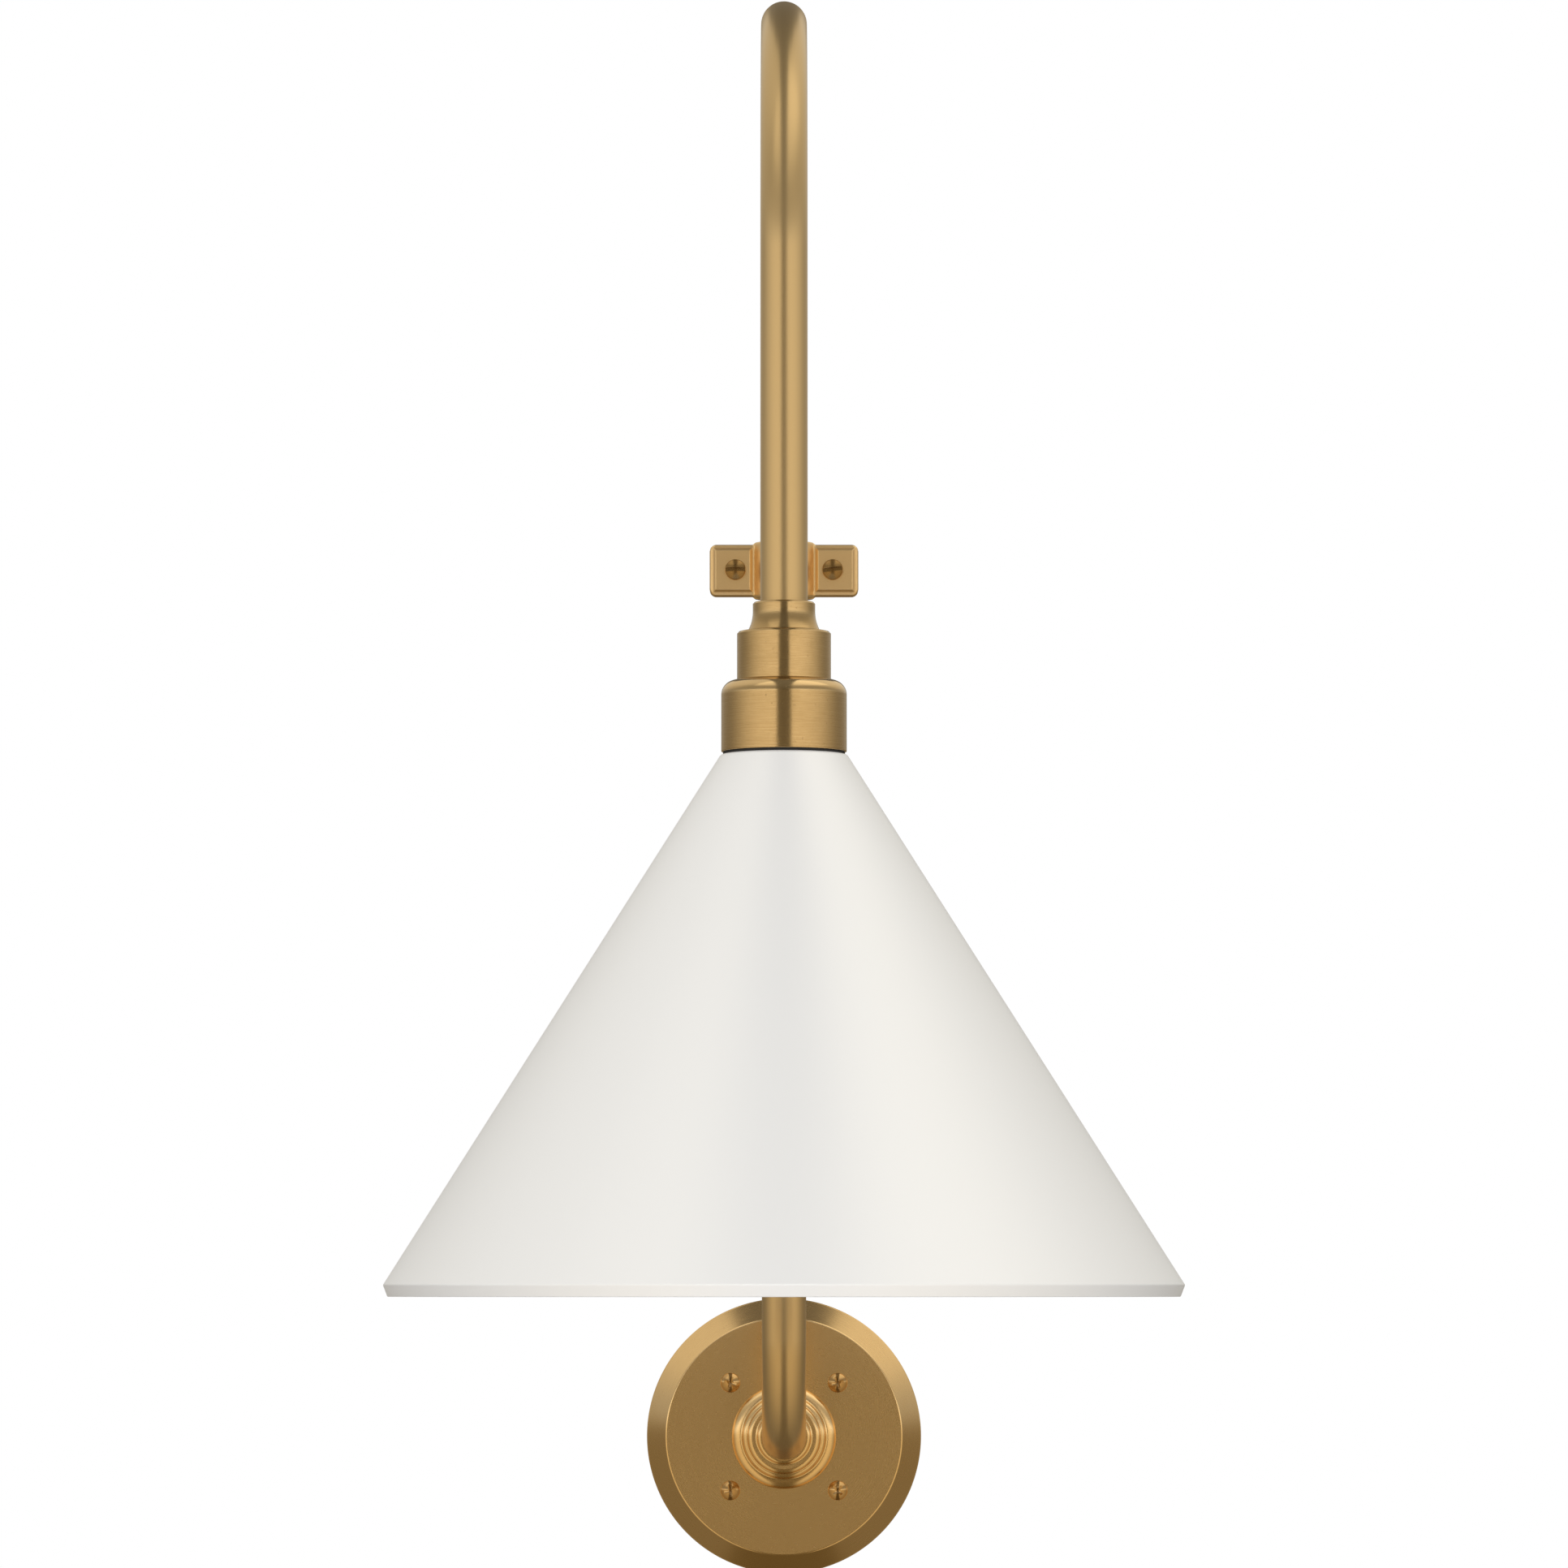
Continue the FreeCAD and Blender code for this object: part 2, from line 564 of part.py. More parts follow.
def swivel_spigot():
    """Turned pin: pressed into the riser below its flange, carrying the bush above it."""
    inside = "tube_bore_radius - seat_gap"
    return turned(
        "swivel_spigot", RISER,
        [("spigot_bore / 2", "lower_top - spigot_down"), (inside, "lower_top - spigot_down"),
         (inside, "lower_top"), ("tube_radius", "lower_top"), ("tube_radius", "thrust_bottom"),
         ("spigot_dia / 2", "thrust_bottom"), ("spigot_dia / 2", "thrust_bottom + spigot_up"),
         ("spigot_bore / 2", "thrust_bottom + spigot_up")])


def thrust_washer():
    """Low-friction washer that the gooseneck turns on."""
    return turned(
        "thrust_washer", RISER,
        [("spigot_dia / 2 + pivot_gap", "thrust_bottom"), ("tube_radius", "thrust_bottom"),
         ("tube_radius", "thrust_top"), ("spigot_dia / 2 + pivot_gap", "thrust_top")])


def pivot_bush():
    """Bronze bearing pressed into the foot of the gooseneck."""
    outer = "tube_bore_radius - seat_gap"
    inner = "spigot_dia / 2 + pivot_gap"
    return turned(
        "pivot_bush", RISER,
        [(inner, "upper_start"), (outer, "upper_start"), (outer, "upper_start + bush_long"),
         (inner, "upper_start + bush_long")])


def pivot_ferrule():
    """Collar on the gooseneck's foot that the clamp traps, with the stop pin's slot in it."""
    inner = "tube_radius + seat_gap"
    ring = turned(
        "pivot_ferrule_ring", RISER,
        [(inner, "upper_start"), ("ferrule_radius", "upper_start"),
         ("ferrule_radius", "ferrule_top"), (inner, "ferrule_top")])
    slot_tall = "stop_pin_dia + 2 * running_gap"
    low = f"stop_height - ({slot_tall}) / 2"
    turn_to_wall = at(0, "-riser_out", low, angle="90 - stop_half_angle")
    wedge = cylinder("pivot_ferrule_sector", "ferrule_radius + overrun", slot_tall, turn_to_wall)
    wedge.setExpression("Angle", linked("2 * stop_half_angle"))
    core = cylinder("pivot_ferrule_core", "ferrule_radius - stop_slot_deep", slot_tall,
                    at(0, "-riser_out", low))
    channel = cut("pivot_ferrule_channel", wedge, [core])
    return cut("pivot_ferrule", ring, [channel])


def clamp_blank():
    """Whole clamp before it is split: barrel, ears, drafted pads and the blends between them."""
    barrel = cylinder("clamp_barrel", "barrel_radius", "clamp_tall", at(0, 0, "clamp_bottom"))
    ears = box("clamp_ears", "2 * ear_half", "2 * ear_face", "ear_tall",
               at("-ear_half", "-ear_face", "joint_height - ear_tall / 2"))
    doc.recompute()
    ends = [f"Edge{index}" for index, edge in enumerate(ears.Shape.Edges, start=1)
            if abs(edge.tangentAt(edge.FirstParameter).y) > 0.9]
    rounded = doc.addObject("Part::Fillet", "clamp_ears_rounded")
    rounded.Base = ears
    rounded.Edges = [(int(name[4:]), value("ear_round"), value("ear_round")) for name in ends]
    body = fused("clamp_body", [barrel, rounded])
    doc.recompute()
    blends = [
        (index, value("ear_blend"), value("ear_blend"))
        for index, edge in enumerate(body.Shape.Edges, start=1)
        if is_blend(edge)]
    blended = doc.addObject("Part::Fillet", "clamp_blended")
    blended.Base = body
    blended.Edges = blends
    pads = [clamp_pad(side, face) for side in (-1, 1) for face in (-1, 1)]
    whole = fused("clamp_solid", [blended] + pads)
    return stand(whole, RISER)


def is_blend(edge):
    """Say whether an edge is an upright one where a flat ear runs into the round barrel."""
    middle = edge.valueAt((edge.FirstParameter + edge.LastParameter) / 2)
    upright = abs(edge.tangentAt(edge.FirstParameter).z) > 0.99
    on_face = abs(abs(middle.y) - value("ear_face")) < 1e-3
    return upright and on_face and abs(middle.x) < value("barrel_radius")


def clamp_pad(side, face):
    """Raise one drafted pad on one ear: side is left or right, face is front or rear."""
    pad = doc.addObject("Part::Wedge", f"clamp_pad_{'left' if side < 0 else 'right'}"
                                       f"_{'front' if face < 0 else 'rear'}")
    half_tall = "ear_tall / 2"
    bounds = {
        "Ymin": "ear_face - pad_sunk", "Ymax": "pad_face",
        "Xmin": "pad_inner - pad_slope", "Xmax": "ear_half - pad_border",
        "Zmin": f"-({half_tall} - pad_border)", "Zmax": f"{half_tall} - pad_border",
        "X2min": "pad_inner", "X2max": "ear_half - pad_border - pad_slope",
        "Z2min": f"-({half_tall} - pad_border - pad_slope)",
        "Z2max": f"{half_tall} - pad_border - pad_slope"}
    for name, expression in bounds.items():
        pad.setExpression(name, linked(expression))
    turn = {(1, 1): ("0; 0; 1", "0"), (-1, -1): ("0; 0; 1", "180"),
            (1, -1): ("1; 0; 0", "180"), (-1, 1): ("0; 1; 0", "180")}[(side, face)]
    return stand(pad, at(0, 0, "joint_height", *turn))


def clamp_halves():
    """Split the clamp into its front and rear halves and bore them."""
    whole = clamp_blank()
    bores = [
        cylinder("clamp_grip_bore", "tube_radius + seat_gap", "clamp_grip + overrun",
                 at(0, "-riser_out", "clamp_bottom - overrun")),
        cylinder("clamp_recess", "recess_radius", "recess_top - lower_top",
                 at(0, "-riser_out", "lower_top")),
        cylinder("clamp_lip_bore", "tube_radius + running_gap", "clamp_top - recess_top + overrun",
                 at(0, "-riser_out", "recess_top"))]
    room_size = ("2 * (ear_half + overrun)", "barrel_radius + overrun", "clamp_tall + 2 * overrun")
    halves = []
    for name, near, hole in (
            ("front", "-riser_out - clamp_split / 2 - barrel_radius - overrun",
             "clamp_screw_dia / 2 + screw_play"),
            ("rear", "-riser_out + clamp_split / 2", "clamp_screw_dia / 2 + seat_gap")):
        room = box(f"clamp_{name}_room", *room_size,
                   at("-ear_half - overrun", near, "clamp_bottom - overrun"))
        half = doc.addObject("Part::Common", f"clamp_{name}_half")
        half.Base = whole
        half.Tool = room
        tools = list(bores)
        for side in (-1, 1):
            tools.append(cylinder(
                f"clamp_{name}_hole_{side + 2}", hole, "2 * (pad_face + overrun)",
                at(f"{side} * clamp_screw_x", "-riser_out + pad_face + overrun", "joint_height",
                   "1; 0; 0", "90")))
        if name == "rear":
            tools.append(stop_pin_blank("clamp_rear_pin_hole", "stop_pin_dia / 2 + seat_gap"))
        halves.append(cut(f"clamp_{name}", half, tools))
    return halves


def stop_pin_blank(label, radius):
    """Lay a pin radially through the clamp's wall, on the side that faces the wall."""
    return cylinder(label, radius, "stop_head - stop_tip",
                    at(0, "-riser_out + stop_head", "stop_height", "1; 0; 0", "90"))


def clamp_screws():
    """Two domed slotted screws from the front half into the rear half."""
    screws = [
        screw(f"clamp_screw_{side + 2}", "clamp_head_dia / 2", "clamp_head_tall",
              "clamp_screw_dia / 2", "2 * pad_face + clamp_screw_proud", "slot",
              at(f"{side} * clamp_screw_x", "-riser_out - pad_face", "joint_height",
                 "1; 0; 0", "90") + " * " + at(0, 0, 0, angle=2 if side < 0 else 8))
        for side in (-1, 1)]
    return group("clamp_screws", screws)


# ---------------------------------------------------------------------------- holder and shade


def neck_collar():
    """Brass collar on the gooseneck's end, flared towards the cover below it."""
    radius = "neck_radius"
    start = "neck_bottom + flare_drop"
    bore = "tube_radius + seat_gap"
    return turned(
        "neck_collar", HOLDER,
        [(bore, "neck_top"), (f"{radius} - neck_chamfer", "neck_top"),
         (radius, "neck_top - neck_chamfer"), (radius, start),
         (f"{radius} + flare_out", "neck_bottom", f"{radius} + flare_radius", start, "left"),
         ("nipple_dia / 2 + seat_gap", "neck_bottom"), ("nipple_dia / 2 + seat_gap", "neck_floor"),
         (bore, "neck_floor")])


def holder_nipple():
    """Hollow threaded nipple that joins the neck, the cover and the lampholder."""
    return turned(
        "holder_nipple", HOLDER,
        [("nipple_bore / 2", "nipple_bottom"), ("nipple_dia / 2", "nipple_bottom"),
         ("nipple_dia / 2", "nipple_top"), ("nipple_bore / 2", "nipple_top")])


def nipple_lock_nut():
    """Hexagon nut on the nipple inside the lampholder."""
    return hexagon("nipple_lock_nut", "nipple_nut_flats", "nipple_dia / 2 + seat_gap",
                   "nipple_nut_tall", at(0, "-holder_out", "holder_ceiling - nipple_nut_tall"))


def cord_grip():
    """Clamping ring that holds the lead under the nipple."""
    return turned(
        "cord_grip", HOLDER,
        [("lead_radius + pivot_gap", "nipple_bottom - grip_tall"),
         ("grip_dia / 2", "nipple_bottom - grip_tall"), ("grip_dia / 2", "nipple_bottom"),
         ("lead_radius + pivot_gap", "nipple_bottom")])


def socket_cover():
    """Small cup under the neck, over the top of the lampholder."""
    outer = "cover_dia / 2"
    inner = "cover_dia / 2 - cover_wall"
    hole = "nipple_dia / 2 + screw_play"
    return turned(
        "socket_cover", HOLDER,
        [(hole, "neck_bottom"), (f"{outer} - cover_chamfer", "neck_bottom"),
         (outer, "neck_bottom - cover_chamfer"), (outer, "cover_bottom"),
         (inner, "cover_bottom"), (inner, "holder_head"), (hole, "holder_head")])


def shade_gallery():
    """Larger round-shouldered cup that seats on the shade."""
    outer = "gallery_dia / 2"
    inner = "gallery_dia / 2 - gallery_wall"
    hole = "holder_radius + loose_gap"
    return turned(
        "shade_gallery", HOLDER,
        [(hole, "cover_bottom"), (outer, "cover_bottom"), (outer, "gallery_bottom"),
         (inner, "gallery_bottom"), (inner, "cover_bottom - gallery_wall"),
         (hole, "cover_bottom - gallery_wall")],
        rounds=[(outer, "cover_bottom", "gallery_round"),
                (inner, "cover_bottom - gallery_wall", "gallery_round - gallery_wall")])


def shade_gasket():
    """Thin dark washer between the gallery and the shade."""
    outer = "gallery_dia / 2 - gasket_inset"
    inner = "gallery_dia / 2 - gasket_inset - gasket_wide"
    return turned(
        "shade_gasket", HOLDER,
        [(inner, "shade_top"), (outer, "shade_top"), (outer, "gallery_bottom"),
         (inner, "gallery_bottom")])


def lampholder_body():
    """Moulded body: wiring chamber above a web, screw shell chamber below it."""
    outer = "holder_radius"
    return turned(
        "lampholder_body", HOLDER,
        [("nipple_dia / 2 + seat_gap", "holder_head"), (outer, "holder_head"),
         (outer, "holder_bottom"), ("shell_radius + pivot_gap", "holder_bottom"),
         ("shell_radius + pivot_gap", "web_bottom"), ("rivet_hole_dia / 2", "web_bottom"),
         ("rivet_hole_dia / 2", "web_top"), ("chamber_radius", "web_top"),
         ("chamber_radius", "holder_ceiling"), ("nipple_dia / 2 + seat_gap", "holder_ceiling")],
        rounds=[(outer, "holder_bottom", "holder_round")])


def lampholder_shell():
    """Screw shell of the lampholder, with an inturned top edge against the web."""
    return turned(
        "lampholder_shell", HOLDER,
        [("shell_bore / 2 - shell_lip", "shell_top"), ("shell_radius", "shell_top"),
         ("shell_radius", "shell_top - shell_long"), ("shell_bore / 2", "shell_top - shell_long"),
         ("shell_bore / 2", "shell_top - shell_skin"),
         ("shell_bore / 2 - shell_lip", "shell_top - shell_skin")])


def centre_contact():
    """Riveted centre contact under the web."""
    return turned(
        "centre_contact", HOLDER,
        [("0", "web_bottom - contact_deep"), ("contact_tip_dia / 2", "web_bottom - contact_deep"),
         ("contact_dia / 2", "web_bottom - contact_edge"), ("contact_dia / 2", "web_bottom"),
         ("rivet_dia / 2", "web_bottom"), ("rivet_dia / 2", "web_top"),
         ("rivet_head_dia / 2", "web_top"), ("rivet_head_dia / 2", "web_top + rivet_head_tall"),
         ("0", "web_top + rivet_head_tall")])


def lampholder_terminals():
    """Two brass terminal posts with their screws, in the wiring chamber."""
    posts = []
    for side in (-1, 1):
        middle = f"{side} * (chamber_radius - post_inset)"
        post = box(f"terminal_post_{side + 2}", "post_wide", "post_deep", "post_tall",
                   at(f"{middle} - post_wide / 2", "-post_deep / 2", "web_top"))
        head = cylinder(f"terminal_head_{side + 2}", "post_screw_dia / 2", "post_screw_tall",
                        at(middle, "0", "web_top + post_tall"))
        posts.append(stand(fused(f"lampholder_terminal_{side + 2}", [post, head]), HOLDER))
    return group("lampholder_terminals", posts)


def shade():
    """Spun conical shade: flat fitter ring on top, straight skirt, short inturned lip."""
    top_radius = "shade_top_dia / 2"
    inner_top = "shade_top - shade_wall"
    return turned(
        "shade", HOLDER,
        [("shade_hole_dia / 2", "shade_top"), (top_radius, "shade_top"),
         ("shade_dia / 2", "shade_rim"), ("shade_dia / 2 - shade_lip_in", "shade_bottom"),
         ("shade_dia / 2 - shade_lip_in - shade_skin", "shade_bottom"),
         ("shade_dia / 2 - shade_skin", "shade_rim"),
         (f"{top_radius} + shade_wall * shade_slope - shade_skin", inner_top),
         ("shade_hole_dia / 2", inner_top)],
        rounds=[(top_radius, "shade_top", "shade_round"),
                ("shade_dia / 2", "shade_rim", "rim_round")])


def shade_ring():
    """Notched ring that screws onto the lampholder and pinches the shade."""
    high = "shade_top - shade_wall"
    notch_count = 12
    ring = turned(
        "shade_ring_blank", at(0, 0, 0),
        [("holder_radius + seat_gap", f"{high} - ring_tall"), ("ring_dia / 2", f"{high} - ring_tall"),
         ("ring_dia / 2", high), ("holder_radius + seat_gap", high)])
    notches = [
        cylinder(f"shade_ring_notch_{count}", "notch_dia / 2", "ring_tall + 2 * overrun",
                 at(f"(ring_dia / 2 + notch_out) * cos({count * 360 / notch_count})",
                    f"(ring_dia / 2 + notch_out) * sin({count * 360 / notch_count})",
                    f"{high} - ring_tall - overrun"))
        for count in range(notch_count)]
    return stand(cut("shade_ring", ring, notches), HOLDER)


# ---------------------------------------------------------------------------- build and write

nodes = [
    mounting_plate(), ground_screw(), *terminal_block(), backplate(), backplate_screws(),
    arm_flange(), arm_lock_washer(), arm_lock_nut(), wire_bushing(), lower_tube(), lower_lead(),
    swivel_spigot(), thrust_washer(), *clamp_halves(), clamp_screws(),
    stop_pin_blank("stop_pin", "stop_pin_dia / 2"),
    gooseneck_tube(), pivot_bush(), pivot_ferrule(), upper_lead(), neck_collar(),
    holder_nipple(), nipple_lock_nut(), cord_grip(), socket_cover(), shade_gallery(),
    shade_gasket(), lampholder_body(), lampholder_shell(), centre_contact(),
    lampholder_terminals(), shade(), shade_ring(),
]
doc.recompute()

for thing in doc.Objects:
    if "Invalid" in thing.State or "Error" in thing.State:
        raise RuntimeError(f"{thing.Label} failed: {thing.State}")
for node in nodes:
    if node.Shape.isNull() or not node.Shape.isValid():
        raise RuntimeError(f"{node.Label} has no valid shape")

os.makedirs("parts", exist_ok=True)
for node in nodes:
    node.Shape.exportStep(f"parts/{node.Label}.step")
print(len(nodes), "nodes written")
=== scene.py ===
"""Looks of the swing arm wall sconce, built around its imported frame.

Each sub-assembly is a class that builds its surfaces with numpy and dresses them, each finish
is a small frozen class, and main() puts them together.  Lengths are in metres.
"""

import json
import logging
import math
from dataclasses import dataclass, field
from enum import Enum
from typing import Union

import bmesh
import bpy
import numpy as np
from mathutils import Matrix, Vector


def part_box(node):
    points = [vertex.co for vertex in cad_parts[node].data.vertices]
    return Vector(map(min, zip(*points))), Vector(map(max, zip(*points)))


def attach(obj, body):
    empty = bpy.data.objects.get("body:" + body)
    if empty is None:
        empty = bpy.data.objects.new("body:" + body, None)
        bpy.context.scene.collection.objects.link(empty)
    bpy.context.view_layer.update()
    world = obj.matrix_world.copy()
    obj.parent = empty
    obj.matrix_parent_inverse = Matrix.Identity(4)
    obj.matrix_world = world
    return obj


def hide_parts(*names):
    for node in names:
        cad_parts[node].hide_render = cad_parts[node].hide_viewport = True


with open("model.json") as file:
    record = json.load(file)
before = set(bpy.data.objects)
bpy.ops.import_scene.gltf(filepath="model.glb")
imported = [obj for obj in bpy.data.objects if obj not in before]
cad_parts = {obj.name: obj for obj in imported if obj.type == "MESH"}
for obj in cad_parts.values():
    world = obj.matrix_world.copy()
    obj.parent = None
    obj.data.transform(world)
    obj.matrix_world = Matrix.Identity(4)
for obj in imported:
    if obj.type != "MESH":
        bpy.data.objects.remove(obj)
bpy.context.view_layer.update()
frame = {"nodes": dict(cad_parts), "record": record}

LOG = logging.getLogger("sconce")
MM = 0.001
FIT_GAP = 0.02 * MM  # room between pieces that slide or screw together
LINE_SCALE = 2600.0  # working lines to the metre
RING_SWING = 1.6  # how far the lines of a turned piece wander round it
NIPPLE_HOLE = 5.02 * MM  # radius of the hole that the holder's nipple passes
MERGE_WITHIN = 2e-7
SHARP_FROM = math.radians(38)
WHITE = (1.0, 1.0, 1.0, 1.0)
Number = Union[float, "Wire"]
Span = tuple[float, float]


# ------------------------------------------------------------------------------ shader wiring


class Wire:
    """A shader socket that adds Math nodes when it is used in arithmetic."""

    def __init__(self, graph: "Graph", socket: bpy.types.NodeSocket) -> None:
        """Keep the socket and the graph that it belongs to."""
        self.graph = graph
        self.socket = socket

    def _math(self, operation: str, first: Number, second: Number) -> "Wire":
        """Add one Math node and return its result."""
        return self.graph.add("ShaderNodeMath", {"operation": operation}, {0: first, 1: second})

    def __add__(self, other: Number) -> "Wire":
        """Return self + other."""
        return self._math("ADD", self, other)

    def __radd__(self, other: Number) -> "Wire":
        """Return other + self."""
        return self._math("ADD", other, self)

    def __sub__(self, other: Number) -> "Wire":
        """Return self - other."""
        return self._math("SUBTRACT", self, other)

    def __rsub__(self, other: Number) -> "Wire":
        """Return other - self."""
        return self._math("SUBTRACT", other, self)

    def __mul__(self, other: Number) -> "Wire":
        """Return self * other."""
        return self._math("MULTIPLY", self, other)

    def __rmul__(self, other: Number) -> "Wire":
        """Return other * self."""
        return self._math("MULTIPLY", other, self)

    def clipped(self) -> "Wire":
        """Return self held between 0 and 1."""
        settings = {"operation": "ADD", "use_clamp": True}
        return self.graph.add("ShaderNodeMath", settings, {0: self, 1: 0.0})


class Graph:
    """The node tree of one material or of the world."""

    def __init__(self, tree: bpy.types.NodeTree) -> None:
        """Empty the tree and keep it."""
        self.tree = tree
        tree.nodes.clear()

    def add(self, kind: str, settings: dict | None = None, inputs: dict | None = None,
            output: int | str = 0) -> Wire:
        """Add a node: its settings first, then the values or links of its sockets.

        Args:
            kind: The node's type.
            settings: Attributes of the node, or "stops" for a colour ramp.
            inputs: Socket name or number to a number, colour, vector or Wire.
            output: The socket to return.

        Returns:
            The chosen output as a Wire.
        """
        node = self.tree.nodes.new(kind)
        for name, setting in (settings or {}).items():
            if name == "stops":
                self._set_stops(node.color_ramp, setting)
            else:
                setattr(node, name, setting)
        for name, given in (inputs or {}).items():
            socket = node.inputs[name]
            if isinstance(given, Wire):
                self.tree.links.new(given.socket, socket)
            else:
                socket.default_value = given
        found = node.outputs[output] if len(node.outputs) else None
        return Wire(self, found)

    @staticmethod
    def _set_stops(ramp: bpy.types.ColorRamp, stops: list[tuple[float, float]]) -> None:
        """Give a ramp its grey stops as (position, level).

        Args:
            ramp: The ramp to set.
            stops: Pairs of position and grey level.
        """
        while len(ramp.elements) < len(stops):
            ramp.elements.new(0.5)
        for element, (position, level) in zip(ramp.elements, stops):
            element.position = position
            element.color = (level, level, level, 1.0)

    def place(self) -> Wire:
        """Return the object's own coordinates."""
        return self.add("ShaderNodeTexCoord", output="Object")

    def attribute(self, name: str, output: str) -> Wire:
        """Return a mesh attribute."""
        return self.add("ShaderNodeAttribute", {"attribute_name": name}, output=output)

    def noise(self, where: Wire, scale: float, detail: float = 2.0, rough: float = 0.5) -> Wire:
        """Return cloud noise between 0 and 1."""
        inputs = {"Vector": where, "Scale": scale, "Detail": detail, "Roughness": rough}
        return self.add("ShaderNodeTexNoise", {"noise_dimensions": "3D"}, inputs, "Fac")

    def ramp(self, wire: Wire, low: float, high: float) -> Wire:
        """Return 0 where the wire is below low, 1 above high, and a smooth step between."""
        return self.add("ShaderNodeMapRange", {"interpolation_type": "SMOOTHSTEP"},
                        {"Value": wire, "From Min": low, "From Max": high})

    def blend(self, share: Number, first: object, second: object) -> Wire:
        """Mix two colours."""
        settings = {"data_type": "RGBA", "blend_type": "MIX"}
        return self.add("ShaderNodeMix", settings, {0: share, 6: first, 7: second}, 2)

    def blend_level(self, share: Wire, first: Wire, second: Wire) -> Wire:
        """Return a number between two wires."""
        return first + (second - first) * share

    def bump(self, height: Wire, depth: float) -> Wire:
        """Turn a height into a normal; depth is the height of 1, in metres."""
        inputs = {"Height": height, "Distance": depth, "Strength": 1.0}
        return self.add("ShaderNodeBump", {}, inputs, "Normal")


def linear(red: int, green: int, blue: int) -> tuple[float, float, float, float]:
    """Turn display colour numbers from 0 to 255 into the linear colour that shaders use.

    Args:
        red: Level from 0 to 255.
        green: Level from 0 to 255.
        blue: Level from 0 to 255.

    Returns:
        Red, green, blue and an alpha of 1.
    """
    parts = [level / 255 for level in (red, green, blue)]
    linear_parts = (p / 12.92 if p <= 0.04045 else ((p + 0.055) / 1.055) ** 2.4 for p in parts)
    return (*linear_parts, 1.0)


class Grain(Enum):
    """Where the fine lines of a metal finish come from."""

    WORKED = "worked"
    PLAIN = "plain"


# ------------------------------------------------------------------------------ finishes


@dataclass(frozen=True)
class Finish:
    """A surface finish: a name and the constants that its shader takes."""

    name: str

    def material(self) -> bpy.types.Material:
        """Return the material of this finish's name.

        One that is there already is returned as it is.  The frame brings a plain material for
        each of its slots, so a finish that is named like a slot shows as the frame's plain
        material, and its own shader isn't built.

        Returns:
            The material.
        """
        known = bpy.data.materials.get(self.name)
        if known is not None:
            return known
        made = bpy.data.materials.new(self.name)
        made.use_nodes = True
        graph = Graph(made.node_tree)
        inputs = self.wire(graph)
        surface = graph.add("ShaderNodeBsdfPrincipled", {}, inputs)
        graph.add("ShaderNodeOutputMaterial", {}, {"Surface": surface})
        return made

    def wire(self, graph: Graph) -> dict:
        """Return the values and links of the principled shader's sockets.

        Args:
            graph: The material's node tree.

        Returns:
            Socket names with their values or links.
        """
        raise NotImplementedError


@dataclass(frozen=True)
class SatinMetal(Finish):
    """Solid metal with fine working lines, a thin patina, specks and rubbed edges."""

    light: tuple = linear(228, 193, 142)
    deep: tuple = linear(205, 165, 110)
    rubbed: tuple = linear(242, 212, 165)
    roughness: float = 0.24
    patina: float = 0.5
    line_depth: float = 0.000004
    grain: Grain = Grain.WORKED
    plain_scale: float = 1400.0
    cloud_scale: float = 22.0
    fine_scale: float = 260.0
    speck_scale: float = 900.0

    def wire(self, graph: Graph) -> dict:
        """Patina and specks shade the metal, and lines roughen it; edges are rubbed bright.

        Args:
            graph: The material's node tree.

        Returns:
            Socket names with their values or links.
        """
        place = graph.place()
        worked = self.grain is Grain.WORKED
        lines_at = graph.attribute("grain", "Vector") if worked else place
        lines = graph.noise(lines_at, 1.0 if worked else self.plain_scale, 3.0, 0.6)
        clouds = graph.ramp(graph.noise(place, self.cloud_scale, 4.0, 0.6), 0.35, 0.75)
        fine = graph.noise(place, self.fine_scale, 3.0, 0.55)
        specks = graph.ramp(graph.noise(place, self.speck_scale, 1.0), 0.70, 0.78)
        edge = graph.attribute("edge", "Fac")
        shade = (clouds * (0.55 * self.patina) + (fine - 0.5) * (0.5 * self.patina)
                 + (lines - 0.5) * 0.35 + specks * 0.22 + 0.12).clipped()
        metal = graph.blend(shade, self.light, self.deep)
        colour = graph.blend((edge * 0.55).clipped(), metal, self.rubbed)
        rough = (clouds * 0.05 + (fine - 0.5) * 0.06 + (lines - 0.5) * 0.12 + specks * 0.10
                 + self.roughness - edge * 0.05)
        height = lines + fine * 0.35
        return {"Base Color": colour, "Metallic": 1.0, "Roughness": rough,
                "Normal": graph.bump(height, self.line_depth)}


